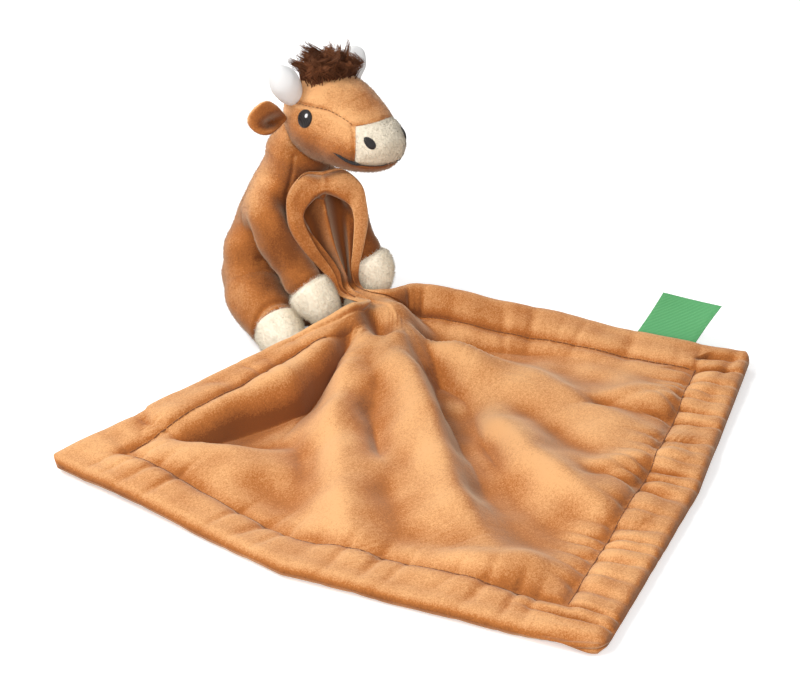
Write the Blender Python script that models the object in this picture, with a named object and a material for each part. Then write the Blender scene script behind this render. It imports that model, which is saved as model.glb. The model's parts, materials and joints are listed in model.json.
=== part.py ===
"""Comfort blanket lovey: a seated stuffed calf that holds one corner of a square velour blanket.

Metres, +Z up. The origin is the middle of the flat seat under the calf, its front looks along -Y,
and its left side is at +X. Every cover is a shell of cloth over its own stuffing.
"""

import math

import bmesh
import bpy
import numpy as np
from mathutils import Matrix, Vector

OBJECT_NAME = "comfort_blanket_lovey"

# Cloth, thread and the room between neighbours
GAP = 0.0003
PLUSH_WALL = 0.0015
EMBROIDERY_HEIGHT = 0.0008
CUT_OVERRUN = 0.030
ROUND_SIDES = 20
KNOT_STEPS = 24

# Torso: a pear that leans forward towards the neck
SEAT_DEPTH = 0.0005
TORSO_HEIGHT = 0.100
TORSO_HALF_WIDTH = 0.0285
TORSO_HALF_DEPTH = 0.0250
TORSO_LEAN = 0.010
TORSO_BLUNTNESS = 3.0
TORSO_PATH_SHARES = ((0.0, 0.0), (0.22, -0.5), (0.45, -0.45), (0.68, 0.15), (0.90, 1.0), (1.0, 1.05))
TORSO_WIDTH_SHARES = (0.86, 1.0, 1.0, 0.87, 0.69, 0.60)
TORSO_DEPTH_SHARES = (0.90, 1.0, 0.93, 0.79, 0.70, 0.68)

# Neck: the torso ends in a ball that sits in a socket of the head
NECK_DROP = 0.010
NECK_RADIUS = 0.0162
NECK_CLEARANCE = 0.0006

# Head: turned to the calf's left, leaning a little to the same side
HEAD_TURN = math.radians(8.0)
HEAD_ROLL = math.radians(5.0)
HEAD_FORWARD = 0.0240
HEAD_SIDE = 0.0040
HEAD_RAISE = 0.0225
HEAD_BACK = 0.0290
HEAD_FRONT = 0.0360
HEAD_HALF_WIDTH = 0.0235
HEAD_HALF_HEIGHT = 0.0225
HEAD_BLUNTNESS = 2.6
HEAD_DROP = 0.0060
HEAD_DROP_SHARES = (-0.25, -0.25, -0.05, 0.45, 0.85, 0.95)
HEAD_WIDTH_SHARES = (0.90, 1.0, 0.98, 0.86, 0.80, 0.76)
HEAD_HEIGHT_SHARES = (0.94, 1.0, 0.98, 0.86, 0.72, 0.66)
MUZZLE_SEAM = 0.0225
MUZZLE_SEAM_TILT = math.radians(-7.0)

# Face embroidery, placed from the head's middle: forward, to the left, up
EYE_WIDTH = 0.0068
EYE_HEIGHT = 0.0084
EYE_FORWARD = -0.0030
EYE_RISE = 0.0050
EYE_TOE_OUT = math.radians(86.0)
NOSTRIL_WIDTH = 0.0040
NOSTRIL_HEIGHT = 0.0056
NOSTRIL_SPREAD = 0.0098
NOSTRIL_RISE = 0.0036
MOUTH_RISE = -0.0115
MOUTH_THICKNESS = 0.0014
MOUTH_START = 0.0150

# Ears, horns and the tuft of hair
EAR_LENGTH = 0.0215
EAR_HALF_WIDTH = 0.0073
EAR_HALF_THICKNESS = 0.0030
EAR_FORWARD = -0.0150
EAR_RISE = 0.0024
EAR_FACE_TURN = math.radians(112.0)
RIGHT_EAR_LIFT = math.radians(5.0)
LEFT_EAR_LIFT = math.radians(-24.0)
EAR_SWEEP_SHARE = 0.40
EAR_ROOT_RADIUS = 0.0018
EAR_PATH_SHARES = (0.0, 0.25, 0.5, 0.75, 1.0)
EAR_SHARES = (0.62, 0.86, 1.0, 0.98, 0.72)
HORN_LENGTH = 0.0165
HORN_RADIUS = 0.0062
HORN_FORWARD = -0.0150
HORN_SIDE = 0.0180
HORN_RISE = 0.0112
HORN_SPLAY = math.radians(44.0)
HORN_BEND_SHARE = 0.25
HORN_PATH_SHARES = (-0.35, 0.0, 0.35, 0.7, 1.0)
HORN_SHARES = (0.90, 1.0, 1.06, 1.0, 0.78)
TUFT_HALF_WIDTH = 0.0145
TUFT_HALF_LENGTH = 0.0095
TUFT_HEIGHT = 0.0190
TUFT_ROOT_DEPTH = 0.0075
TUFT_FORWARD = -0.0120
TUFT_PATH_SHARES = (0.0, 0.3, 0.6, 0.85, 1.0)
TUFT_SHARES = (0.85, 1.0, 0.98, 0.88, 0.74)

# Arms: each starts at a shoulder, in shares of the torso's height, and ends in a hand at the blanket.
# Between them stand the share of the way to the hand, then the bow in shares of that way.
ARM_RADIUS = 0.0098
RIGHT_SHOULDER_SHARES = (-0.180, 0.02, 0.730)
LEFT_SHOULDER_SHARES = (0.170, 0.0, 0.730)
RIGHT_ARM_SHARES = (
    (0.196, -0.082, -0.052, 0.057),
    (0.418, -0.098, -0.031, 0.035),
    (0.678, -0.052, -0.006, 0.007),
)
LEFT_ARM_SHARES = (
    (0.234, 0.037, -0.068, 0.075),
    (0.516, -0.006, -0.068, 0.072),
    (0.743, -0.037, -0.031, 0.031),
)
HAND_RADIUS = 0.0115
HAND_LENGTH = 0.0230
WRIST_SHARE = 0.52
ARM_RADIUS_SHARES = (1.06, 1.06, 1.0, 0.96, 0.98, 1.18, 1.12)
RIGHT_HAND_AIM = (0.35, -0.55, -0.75)
LEFT_HAND_AIM = (-0.10, -0.30, -1.0)

# Legs: each swings on an upright line through its hip ball
HIP_SIDE = 0.0270
HIP_FORWARD = 0.0040
HIP_HEIGHT = 0.0220
HIP_RADIUS = 0.0150
LEG_LENGTH = 0.0400
HOOF_RISE = 0.0092
HOOF_REACH = 0.0110
ANKLE_SHARE = 0.68
LEG_ROOT_SHARE = 0.9
LEG_RADIUS_SHARES = (1.08, 1.12, 1.0, 0.84, 0.76, 0.80)
RIGHT_LEG_TURN = math.radians(11.0)
LEFT_LEG_TURN = math.radians(-8.0)

# Blanket: two velour squares sewn round their edge, with a border held by a topstitch
BLANKET_SIDE = 0.290
PANEL_THICKNESS = 0.0016
BORDER_WIDTH = 0.025
BORDER_PUFF = 0.0024
BORDER_EDGE_RADIUS = 0.0070
BORDER_FADE = 0.0090
STITCH_GROOVE_SHARE = 0.6
STITCH_GROOVE_WIDTH = 0.0040
BLANKET_CORNER_RADIUS = 0.012
HELD_SIDE = 0.0715
BORDER_CELLS = 3
HOOD_CELLS = 5
WAIST_CELLS = 4
SPREAD_CELLS = 9
WAIST_REACH = 0.034
NORMAL_PASSES = 8

# The gathered waist between the hands, and the corner that stands above it as an open hood
GRIP_SIDE = 0.0007
GRIP_FORWARD = 0.0465
GRIP_HEIGHT = 0.0300
GRIP_HALF_WIDTH = 0.0056
GRIP_DEPTH = 0.0020
GRIP_FRONT_SHARE = 0.5
GRIP_PRESS_SHARE = 0.60
GRIP_PRESS_REACH = 0.032
HOOD_HEIGHT = 0.0570
HOOD_HALF_WIDTH = 0.0165
HOOD_DEPTH = 0.0085
HOOD_LIP = 0.0030
HOOD_TURN = math.radians(24.0)
HOOD_LEAN_RIGHT = 0.0035
HOOD_LEAN_BACK = 0.0135
HOOD_BOW_RIGHT = 0.0020
HOOD_BOW_BACK = 0.0020
HOOD_RIM_SHARES = (
    (1.0, 0.0, 0.0),
    (0.98, 0.50, 0.5),
    (0.84, 0.92, 1.0),
    (0.62, 1.0, 1.0),
    (0.38, 0.74, 0.8),
    (0.17, 0.42, 0.4),
)
HOOD_MIDDLE_SHARES = ((1.0, 0.0), (0.90, 0.55), (0.66, 1.0), (0.36, 0.75), (0.15, 0.35))

# Runs of the spread cloth from the waist: x and y in shares of the side, z of the grip's height
LEFT_EDGE_SHARES = (
    (-0.017, -0.054, 0.99),
    (-0.057, -0.071, 0.87),
    (-0.102, -0.072, 0.77),
    (-0.150, -0.059, 0.68),
    (-0.216, -0.050, 0.62),
    (-0.345, -0.046, 0.47),
    (-0.479, -0.042, 0.31),
    (-0.575, -0.032, 0.20),
    (-0.628, -0.026, 0.08),
)
BACK_EDGE_SHARES = (
    (0.024, -0.032, 0.985),
    (0.050, -0.046, 0.95),
    (0.103, -0.041, 0.84),
    (0.145, -0.069, 0.73),
    (0.193, -0.119, 0.58),
    (0.287, -0.221, 0.35),
    (0.346, -0.307, 0.22),
    (0.415, -0.428, 0.17),
    (0.470, -0.498, 0.10),
)
MIDDLE_RUN_SHARES = (
    (0.003, -0.033, 0.95),
    (0.013, -0.070, 0.83),
    (0.011, -0.116, 0.68),
    (-0.030, -0.202, 0.40),
    (-0.089, -0.357, 0.20),
    (-0.175, -0.564, 0.09),
    (-0.261, -0.771, 0.08),
    (-0.322, -0.948, 0.08),
)
FRONT_BOW_SHARES = ((0.0, 0.0), (-0.036, -0.012), (-0.060, -0.020), (-0.043, -0.014), (0.0, 0.0))
SIDE_BOW_SHARES = ((0.0, 0.0), (0.008, -0.014), (0.010, -0.018), (0.006, -0.010), (0.0, 0.0))

# Crests of the folds, in the same shares; the two widths are those of the slopes left and right of
# a crest that is followed away from its first point
FOLD_SHARES = (
    (((0.010, -0.090, 0.92), (-0.039, -0.165, 0.88), (-0.083, -0.260, 0.80), (-0.128, -0.361, 0.67),
      (-0.184, -0.463, 0.53), (-0.227, -0.538, 0.43), (-0.267, -0.621, 0.30), (-0.286, -0.689, 0.17),
      (-0.289, -0.746, 0.00)), 0.040, 0.085),
    (((-0.030, -0.088, 0.88), (-0.100, -0.143, 0.80), (-0.177, -0.208, 0.70), (-0.248, -0.278, 0.57),
      (-0.319, -0.378, 0.40), (-0.383, -0.481, 0.27), (-0.431, -0.594, 0.00)), 0.070, 0.045),
    (((-0.060, -0.085, 0.88), (-0.115, -0.107, 0.84), (-0.200, -0.136, 0.73), (-0.283, -0.138, 0.63),
      (-0.351, -0.124, 0.57), (-0.416, -0.113, 0.47), (-0.461, -0.109, 0.35), (-0.495, -0.092, 0.00)),
     0.028, 0.090),
    (((-0.484, -0.104, 0.17), (-0.481, -0.161, 0.33), (-0.442, -0.202, 0.33), (-0.394, -0.246, 0.27),
      (-0.329, -0.286, 0.13), (-0.280, -0.312, 0.00)), 0.032, 0.090),
    (((0.025, -0.095, 0.90), (0.010, -0.167, 0.84), (0.040, -0.230, 0.70), (0.080, -0.294, 0.57),
      (0.105, -0.376, 0.43), (0.111, -0.459, 0.37), (0.132, -0.567, 0.27), (0.147, -0.650, 0.00)),
     0.045, 0.080),
    (((-0.018, -0.333, 0.20), (-0.050, -0.462, 0.37), (-0.069, -0.573, 0.37), (-0.073, -0.664, 0.30),
      (-0.070, -0.760, 0.00)), 0.065, 0.036),
    (((0.115, -0.402, 0.13), (0.176, -0.477, 0.27), (0.239, -0.517, 0.27), (0.340, -0.540, 0.06)),
     0.050, 0.026),
    (((-0.027, -0.563, 0.10), (0.014, -0.619, 0.27), (0.088, -0.643, 0.20), (0.140, -0.670, 0.05)),
     0.050, 0.026),
    (((-0.347, -0.617, 0.10), (-0.316, -0.690, 0.25), (-0.262, -0.736, 0.25), (-0.224, -0.790, 0.05)),
     0.040, 0.040),
)
EDGE_FALL_LENGTH = 0.036
EDGE_FALL_START_SHARE = 0.35
EDGE_FALL_END_SHARE = 0.3
FLATTEN_SHARE = 0.45
SETTLE_SHARE = 0.20
CONE_REACH = 0.030
TABLE_CLEARANCE = 0.00005

# Sewn label on the back edge
LABEL_WIDTH = 0.030
LABEL_HEIGHT = 0.024
LABEL_THICKNESS = 0.0010
LABEL_EDGE_ROOM = 0.0008
LABEL_EDGE_SHARE = 0.785
LABEL_EDGE_STEP_SHARE = 0.02
LABEL_LEAN = math.radians(38.0)
LABEL_TOP_OFFSET = 0.0100
LABEL_TOP_DROP = 0.0020

# Tacks of sewing thread that hold each hand to the gathered waist
TACK_LENGTH = 0.0009
TACK_RADIUS = 0.0008

COLOURS = {
    "velour": ((0.47, 0.21, 0.075), 0.9),
    "sherpa": ((0.80, 0.72, 0.58), 0.95),
    "felt": ((0.82, 0.80, 0.79), 0.9),
    "hair": ((0.085, 0.035, 0.018), 0.85),
    "embroidery": ((0.012, 0.010, 0.010), 0.6),
    "filling": ((0.85, 0.85, 0.83), 1.0),
    "ribbon": ((0.10, 0.42, 0.16), 0.6),
    "thread": ((0.20, 0.08, 0.02), 0.7),
}


def clear_scene():
    for item in list(bpy.data.objects):
        bpy.data.objects.remove(item, do_unlink=True)


def new_collection(name):
    collection = bpy.data.collections.new(name)
    bpy.context.scene.collection.children.link(collection)
    return collection


def own_material(name, finish):
    """One Principled material for each piece, in the colour of its cloth."""
    colour, roughness = COLOURS[finish]
    material = bpy.data.materials.new(name)
    material.use_nodes = True
    shader = material.node_tree.nodes["Principled BSDF"]
    shader.inputs["Base Color"].default_value = (*colour, 1.0)
    shader.inputs["Roughness"].default_value = roughness
    shader.inputs["Metallic"].default_value = 0.0
    return material


def make_piece(name, mesh, finish):
    piece = bpy.data.objects.new(name, mesh)
    mesh.materials.append(own_material(name, finish))
    parts.objects.link(piece)
    return piece


def make_cutter(name, mesh):
    cutter = bpy.data.objects.new(name, mesh)
    cutter.hide_render = True
    cutter.display_type = "WIRE"
    cutters.objects.link(cutter)
    return cutter


def apply_cut(piece, tool, operation="DIFFERENCE"):
    """Adds an exact Boolean that stays on the piece."""
    modifier = piece.modifiers.new(f"{operation.lower()} {tool.name}", "BOOLEAN")
    modifier.operation = operation
    modifier.solver = "EXACT"
    modifier.object = tool


def smooth_knots(points):
    """Smooth curve through the points (Catmull-Rom), in equal steps between each two."""
    points = np.asarray(points, float)
    ends = np.concatenate([[2 * points[0] - points[1]], points, [2 * points[-1] - points[-2]]])
    steps = np.linspace(0, len(points) - 1, KNOT_STEPS * (len(points) - 1) + 1)
    span = np.minimum(steps.astype(int), len(points) - 2)
    f = (steps - span)[:, None]
    a, b, c, d = (ends[span + k] for k in range(4))
    return 0.5 * (2 * b + (c - a) * f + (2 * a - 5 * b + 4 * c - d) * f**2 + (3 * b - a - 3 * c + d) * f**3)


def smooth_run(points, places):
    """Smooth curve through the points, read at shares of its own length."""
    curve = smooth_knots(points)
    length = np.concatenate([[0], np.cumsum(np.linalg.norm(np.diff(curve, axis=0), axis=1))])
    places = np.asarray(places, float) * length[-1]
    return np.stack([np.interp(places, length, curve[:, k]) for k in range(curve.shape[1])], axis=-1)


def even_values(values, places):
    """Values set at even shares of a length, read smoothly in between."""
    knots = np.linspace(0, 1, len(values))
    pairs = np.stack([knots, np.asarray(values, float)], axis=-1)
    ends = np.concatenate([[2 * pairs[0] - pairs[1]], pairs, [2 * pairs[-1] - pairs[-2]]])[:, 1]
    place = np.clip(places, 0, 1) * (len(values) - 1)
    span = np.minimum(place.astype(int), len(values) - 2)
    f = place - span
    a, b, c, d = (ends[span + k] for k in range(4))
    return 0.5 * (2 * b + (c - a) * f + (2 * a - 5 * b + 4 * c - d) * f**2 + (3 * b - a - 3 * c + d) * f**3)


def closed_rings(name, rings, first, last):
    """Mesh of a closed form: rings of equal count, with a pole at each end."""
    count, sides = rings.shape[:2]
    vertices = [tuple(first)] + [tuple(p) for ring in rings for p in ring] + [tuple(last)]
    top = len(vertices) - 1
    faces = []
    for j in range(sides):
        k = (j + 1) % sides
        faces.append((0, 1 + k, 1 + j))
        for i in range(count - 1):
            low = 1 + i * sides
            high = low + sides
            faces.append((low + j, low + k, high + k))
            faces.append((low + j, high + k, high + j))
        faces.append((top - sides + j, top - sides + k, top))
    mesh = bpy.data.meshes.new(name)
    mesh.from_pydata(vertices, [], faces)
    tidy = bmesh.new()
    tidy.from_mesh(mesh)
    bmesh.ops.recalc_face_normals(tidy, faces=tidy.faces)
    tidy.to_mesh(mesh)
    tidy.free()
    mesh.shade_smooth()
    return mesh


def stuffed(name, path, across, thick, side_axis, grow=0.0, sides=ROUND_SIDES, rings=11, bluntness=2.0):
    """Closed form that swells and tapers along a path and is rounded at both ends.

    Half sizes come from two even tables, times (1 - |2s - 1|^n)^(1/n) along the path's share s,
    and grow moves the whole surface outwards.
    """
    share = (1 - np.cos(np.pi * np.arange(1, rings) / rings)) / 2
    rounding = (1 - np.abs(2 * share - 1) ** bluntness) ** (1 / bluntness)
    step = 1e-3
    middle = smooth_run(path, share)
    ahead = smooth_run(path, np.minimum(share + step, 1)) - smooth_run(path, np.maximum(share - step, 0))
    ahead /= np.linalg.norm(ahead, axis=1)[:, None]
    side = np.asarray(side_axis, float) - ahead * (ahead @ np.asarray(side_axis, float))[:, None]
    side /= np.linalg.norm(side, axis=1)[:, None]
    up = np.cross(ahead, side)
    middle = middle + ahead * (grow * (2 * share - 1))[:, None]
    half_across = even_values(across, share) * rounding + grow
    half_thick = even_values(thick, share) * rounding + grow
    angle = 2 * np.pi * np.arange(sides) / sides
    ring = (
        middle[:, None]
        + np.cos(angle)[None, :, None] * (half_across[:, None] * side)[:, None]
        + np.sin(angle)[None, :, None] * (half_thick[:, None] * up)[:, None]
    )
    path = np.asarray(path, float)
    first = path[0] - ahead[0] * grow
    last = path[-1] + ahead[-1] * grow
    return closed_rings(name, ring, first, last)


def ball(name, centre, radius, segments=20, rings=12):
    mesh = bpy.data.meshes.new(name)
    shape = bmesh.new()
    place = Matrix.Translation(centre)
    bmesh.ops.create_uvsphere(shape, u_segments=segments, v_segments=rings, radius=radius, matrix=place)
    shape.to_mesh(mesh)
    shape.free()
    mesh.shade_smooth()
    return mesh


def block(name, centre, turn, size):
    """Box with its middle at centre, its axes turned by a rotation matrix."""
    mesh = bpy.data.meshes.new(name)
    shape = bmesh.new()
    scale = Matrix.Diagonal((*size, 1.0))
    bmesh.ops.create_cube(shape, size=1.0, matrix=Matrix.Translation(centre) @ turn.to_4x4() @ scale)
    shape.to_mesh(mesh)
    shape.free()
    return mesh


def rod(name, start, direction, length, half_wide, half_high, side_axis, segments=20):
    """Oval rod from a point along a direction."""
    ahead = Vector(direction).normalized()
    side = (Vector(side_axis) - ahead * ahead.dot(Vector(side_axis))).normalized()
    turn = Matrix((side, ahead.cross(side), ahead)).transposed().to_4x4()
    place = Matrix.Translation(Vector(start) + ahead * (length / 2)) @ turn
    scale = Matrix.Diagonal((half_wide, half_high, 1.0, 1.0))
    mesh = bpy.data.meshes.new(name)
    shape = bmesh.new()
    bmesh.ops.create_cone(
        shape, cap_ends=True, segments=segments, radius1=1.0, radius2=1.0, depth=length, matrix=place @ scale
    )
    shape.to_mesh(mesh)
    shape.free()
    return mesh


def as_array(vector):
    return np.array(tuple(vector), float)


clear_scene()
parts = new_collection(OBJECT_NAME)
cutters = new_collection("cutters")

NECK = Vector((0.0, -TORSO_LEAN, TORSO_HEIGHT - NECK_DROP))
FACING = Vector((math.sin(HEAD_TURN), -math.cos(HEAD_TURN), 0.0))
HEAD_LEFT = Matrix.Rotation(HEAD_ROLL, 3, -FACING) @ Vector((math.cos(HEAD_TURN), math.sin(HEAD_TURN), 0.0))
HEAD_UP = FACING.cross(HEAD_LEFT)
HEAD_MIDDLE = NECK + FACING * HEAD_FORWARD + Vector((HEAD_SIDE, 0.0, HEAD_RAISE))


def head_point(forward, left, up):
    return HEAD_MIDDLE + FACING * forward + HEAD_LEFT * left + HEAD_UP * up


def hip_point(side):
    return Vector((side * HIP_SIDE, -HIP_FORWARD, HIP_HEIGHT))


def torso_form(name, grow, sides=ROUND_SIDES):
    base = -SEAT_DEPTH
    path = [(0.0, -TORSO_LEAN * f, base + TORSO_HEIGHT * h) for h, f in TORSO_PATH_SHARES]
    wide = [TORSO_HALF_WIDTH * s for s in TORSO_WIDTH_SHARES]
    deep = [TORSO_HALF_DEPTH * s for s in TORSO_DEPTH_SHARES]
    return stuffed(name, path, wide, deep, (1, 0, 0), grow, sides, 12, TORSO_BLUNTNESS)


def head_form(name, grow, sides=ROUND_SIDES):
    reach = np.linspace(-HEAD_BACK, HEAD_FRONT, len(HEAD_DROP_SHARES))
    path = [tuple(head_point(f, 0.0, -HEAD_DROP * d)) for f, d in zip(reach, HEAD_DROP_SHARES)]
    wide = [HEAD_HALF_WIDTH * s for s in HEAD_WIDTH_SHARES]
    high = [HEAD_HALF_HEIGHT * s for s in HEAD_HEIGHT_SHARES]
    return stuffed(name, path, wide, high, HEAD_LEFT, grow, sides, 13, HEAD_BLUNTNESS)


def hand_place(side):
    """The hands press on the gathered waist from both sides, the left one a little higher."""
    reach = GRIP_HALF_WIDTH + PANEL_THICKNESS * (1 - GRIP_PRESS_SHARE) + GAP + HAND_RADIUS + TACK_LENGTH
    if side < 0:
        return Vector((GRIP_SIDE - reach, -GRIP_FORWARD - GAP, GRIP_HEIGHT - HAND_RADIUS / 6))
    return Vector((GRIP_SIDE + reach, -GRIP_FORWARD + HAND_RADIUS / 3, GRIP_HEIGHT + HAND_RADIUS / 4))


def arm_points(side):
    """Shoulder, upper arm, elbow and forearm, which follow both the torso and the hand."""
    shoulder = Vector(RIGHT_SHOULDER_SHARES if side < 0 else LEFT_SHOULDER_SHARES) * TORSO_HEIGHT
    way = hand_place(side) - shoulder
    shares = RIGHT_ARM_SHARES if side < 0 else LEFT_ARM_SHARES
    return [shoulder] + [shoulder + way * s + Vector(bow) * way.length for s, *bow in shares]


def arm_form(name, side, grow):
    """From inside the shoulder over the elbow to the tip of the hand."""
    hand = hand_place(side)
    aim = Vector(RIGHT_HAND_AIM if side < 0 else LEFT_HAND_AIM).normalized()
    path = [tuple(p) for p in (*arm_points(side), hand, hand + aim * (HAND_LENGTH / 2))]
    radii = [ARM_RADIUS * s for s in ARM_RADIUS_SHARES]
    return stuffed(name, path, radii, radii, (0, 0, 1), grow, ROUND_SIDES - 6, 10, 2.6)


def leg_direction(side):
    turn = RIGHT_LEG_TURN if side < 0 else LEFT_LEG_TURN
    return Vector((side * math.sin(turn), -math.cos(turn), 0.0))


def leg_form(name, side, grow):
    """From inside the hip socket to the sole of the hoof."""
    ahead = leg_direction(side)
    hip = hip_point(side)
    hoof = hip + ahead * LEG_LENGTH
    hoof.z = HOOF_RISE - SEAT_DEPTH
    root = hip - ahead * (HIP_RADIUS * LEG_ROOT_SHARE)
    path = [tuple(p) for p in (root, hip, hip.lerp(hoof, 0.5), hoof, hoof + ahead * HOOF_REACH)]
    radii = [HIP_RADIUS * s for s in LEG_RADIUS_SHARES]
    return stuffed(name, path, radii, radii, (0, 0, 1), grow, ROUND_SIDES - 6, 10, 2.4)


def add_torso():
    """Cover with its seat cut flat, its two hip sockets and the ball of the neck, and its stuffing."""
    floor = make_cutter("under_seat", block("under_seat", (0, 0, -CUT_OVERRUN / 2), Matrix.Identity(3),
                                            (4 * CUT_OVERRUN, 4 * CUT_OVERRUN, CUT_OVERRUN)))
    cover = make_piece("torso_cover", torso_form("torso_cover", 0.0), "velour")
    dome = make_cutter("neck_ball", ball("neck_ball", NECK, NECK_RADIUS))
    apply_cut(cover, dome, "UNION")
    hollow = make_cutter("torso_hollow", torso_form("torso_hollow", -PLUSH_WALL, ROUND_SIDES - 4))
    dome_hollow = make_cutter("neck_hollow", ball("neck_hollow", NECK, NECK_RADIUS - PLUSH_WALL))
    apply_cut(hollow, dome_hollow, "UNION")
    inner_floor = make_cutter("under_stuffing", block(
        "under_stuffing", (0, 0, PLUSH_WALL - CUT_OVERRUN / 2), Matrix.Identity(3),
        (4 * CUT_OVERRUN, 4 * CUT_OVERRUN, CUT_OVERRUN)))
    apply_cut(hollow, inner_floor)
    apply_cut(cover, hollow)
    apply_cut(cover, floor)

    filling = make_piece("torso_filling", torso_form("torso_filling", -PLUSH_WALL - GAP, ROUND_SIDES - 4),
                         "filling")
    under = make_cutter("filling_floor", block(
        "filling_floor", (0, 0, PLUSH_WALL + GAP - CUT_OVERRUN / 2), Matrix.Identity(3),
        (4 * CUT_OVERRUN, 4 * CUT_OVERRUN, CUT_OVERRUN)))
    apply_cut(filling, under)
    apply_cut(filling, make_cutter("neck_room", ball("neck_room", NECK, NECK_RADIUS - PLUSH_WALL)))
    for side, word in ((-1, "right"), (1, "left")):
        socket = make_cutter(f"hip_socket_{word}",
                             ball(f"hip_socket_{word}", hip_point(side), HIP_RADIUS + GAP, 16, 8))
        apply_cut(cover, socket)
        apply_cut(filling, socket)

    plug = ball("neck_filling", NECK, NECK_RADIUS - PLUSH_WALL - NECK_CLEARANCE, 16, 10)
    make_piece("neck_filling", plug, "filling")


def torso_room(name, hips):
    """The torso grown by one gap, which limbs are cut to; the hip sockets are left open for legs."""
    room = make_cutter(name, torso_form(name, GAP))
    if hips:
        for side, word in ((-1, "right"), (1, "left")):
            place = f"{name}_{word}"
            apply_cut(room, make_cutter(place, ball(place, hip_point(side), HIP_RADIUS, 16, 8)))
    return room


def head_turn_matrix():
    return Matrix((HEAD_LEFT, -FACING, HEAD_UP)).transposed()


def add_head():
    """Cover with the socket for the neck, the cream muzzle panel in front, and the stuffing."""
    cover = make_piece("head_cover", head_form("head_cover", 0.0), "velour")
    muzzle = make_piece("muzzle_cover", head_form("muzzle_cover", 0.0), "sherpa")
    hollow = make_cutter("head_hollow", head_form("head_hollow", -PLUSH_WALL, ROUND_SIDES - 4))
    socket = make_cutter("head_socket", ball("head_socket", NECK, NECK_RADIUS + NECK_CLEARANCE))
    inside = head_form("head_filling", -PLUSH_WALL - GAP, ROUND_SIDES - 4)
    filling = make_piece("head_filling", inside, "filling")
    apply_cut(cover, hollow)
    apply_cut(muzzle, hollow)
    apply_cut(cover, socket)
    apply_cut(filling, socket)
    turn = Matrix.Rotation(MUZZLE_SEAM_TILT, 3, HEAD_LEFT) @ head_turn_matrix()
    size = (4 * CUT_OVERRUN, 4 * CUT_OVERRUN, 4 * CUT_OVERRUN)
    normal = turn @ Vector((0, -1, 0))
    seam = head_point(MUZZLE_SEAM, 0.0, 0.0)
    front = make_cutter("before_seam", block("before_seam", seam + normal * (2 * CUT_OVERRUN), turn, size))
    behind = make_cutter("behind_seam", block(
        "behind_seam", seam + normal * (GAP - 2 * CUT_OVERRUN), turn, size))
    apply_cut(cover, front)
    apply_cut(muzzle, behind)


def head_layer(name, finish):
    """A thin skin one gap above the head, from which embroidery is cut."""
    piece = make_piece(name, head_form(name, GAP + EMBROIDERY_HEIGHT), finish)
    return piece


def add_face():
    """Embroidered eyes and nostrils as oval pads, and the mouth as one sewn line."""
    room = make_cutter("head_room", head_form("head_room", GAP))
    reach = 2 * CUT_OVERRUN
    for side, word in ((-1, "right"), (1, "left")):
        eye = head_layer(f"eye_{word}", "embroidery")
        apply_cut(eye, room)
        out = FACING * math.cos(EYE_TOE_OUT) + HEAD_LEFT * (side * math.sin(EYE_TOE_OUT))
        start = head_point(EYE_FORWARD, 0.0, EYE_RISE)
        apply_cut(eye, make_cutter(f"eye_{word}_outline", rod(
            f"eye_{word}_outline", start, out, reach, EYE_WIDTH / 2, EYE_HEIGHT / 2, out.cross(HEAD_UP))),
            "INTERSECT")
        nostril = head_layer(f"nostril_{word}", "embroidery")
        apply_cut(nostril, room)
        start = head_point(0.0, side * NOSTRIL_SPREAD, NOSTRIL_RISE - HEAD_DROP * HEAD_DROP_SHARES[-1] / 2)
        apply_cut(nostril, make_cutter(f"nostril_{word}_outline", rod(
            f"nostril_{word}_outline", start, FACING, reach,
            NOSTRIL_WIDTH / 2, NOSTRIL_HEIGHT / 2, HEAD_LEFT)), "INTERSECT")
    mouth = head_layer("mouth_stitch", "embroidery")
    apply_cut(mouth, room)
    slot = block("mouth_line", head_point(MOUTH_START + reach / 2, 0.0, MOUTH_RISE), head_turn_matrix(),
                 (reach, reach, MOUTH_THICKNESS))
    apply_cut(mouth, make_cutter("mouth_line", slot), "INTERSECT")
    return room


def surface_reach(forward, up):
    """Half width of the head at a place, from the same tables as its form."""
    share = np.array([(forward + HEAD_BACK) / (HEAD_BACK + HEAD_FRONT)])
    rounding = (1 - np.abs(2 * share - 1) ** HEAD_BLUNTNESS) ** (1 / HEAD_BLUNTNESS)
    wide = even_values(HEAD_WIDTH_SHARES, share)[0] * HEAD_HALF_WIDTH * rounding[0]
    high = even_values(HEAD_HEIGHT_SHARES, share)[0] * HEAD_HALF_HEIGHT * rounding[0]
    drop = even_values(HEAD_DROP_SHARES, share)[0] * HEAD_DROP
    return wide * math.sqrt(max(0.0, 1 - ((up + drop) / high) ** 2))


def ear_root_line():
    """Direction of the seam that the ear hangs on, which is also the way the ear is broad."""
    return FACING * math.cos(EAR_FACE_TURN) + HEAD_UP * math.sin(EAR_FACE_TURN)


def ear_pivot(side):
    reach = surface_reach(EAR_FORWARD, EAR_RISE)
    return head_point(EAR_FORWARD, side * (reach + EAR_ROOT_RADIUS + GAP), EAR_RISE)


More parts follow.
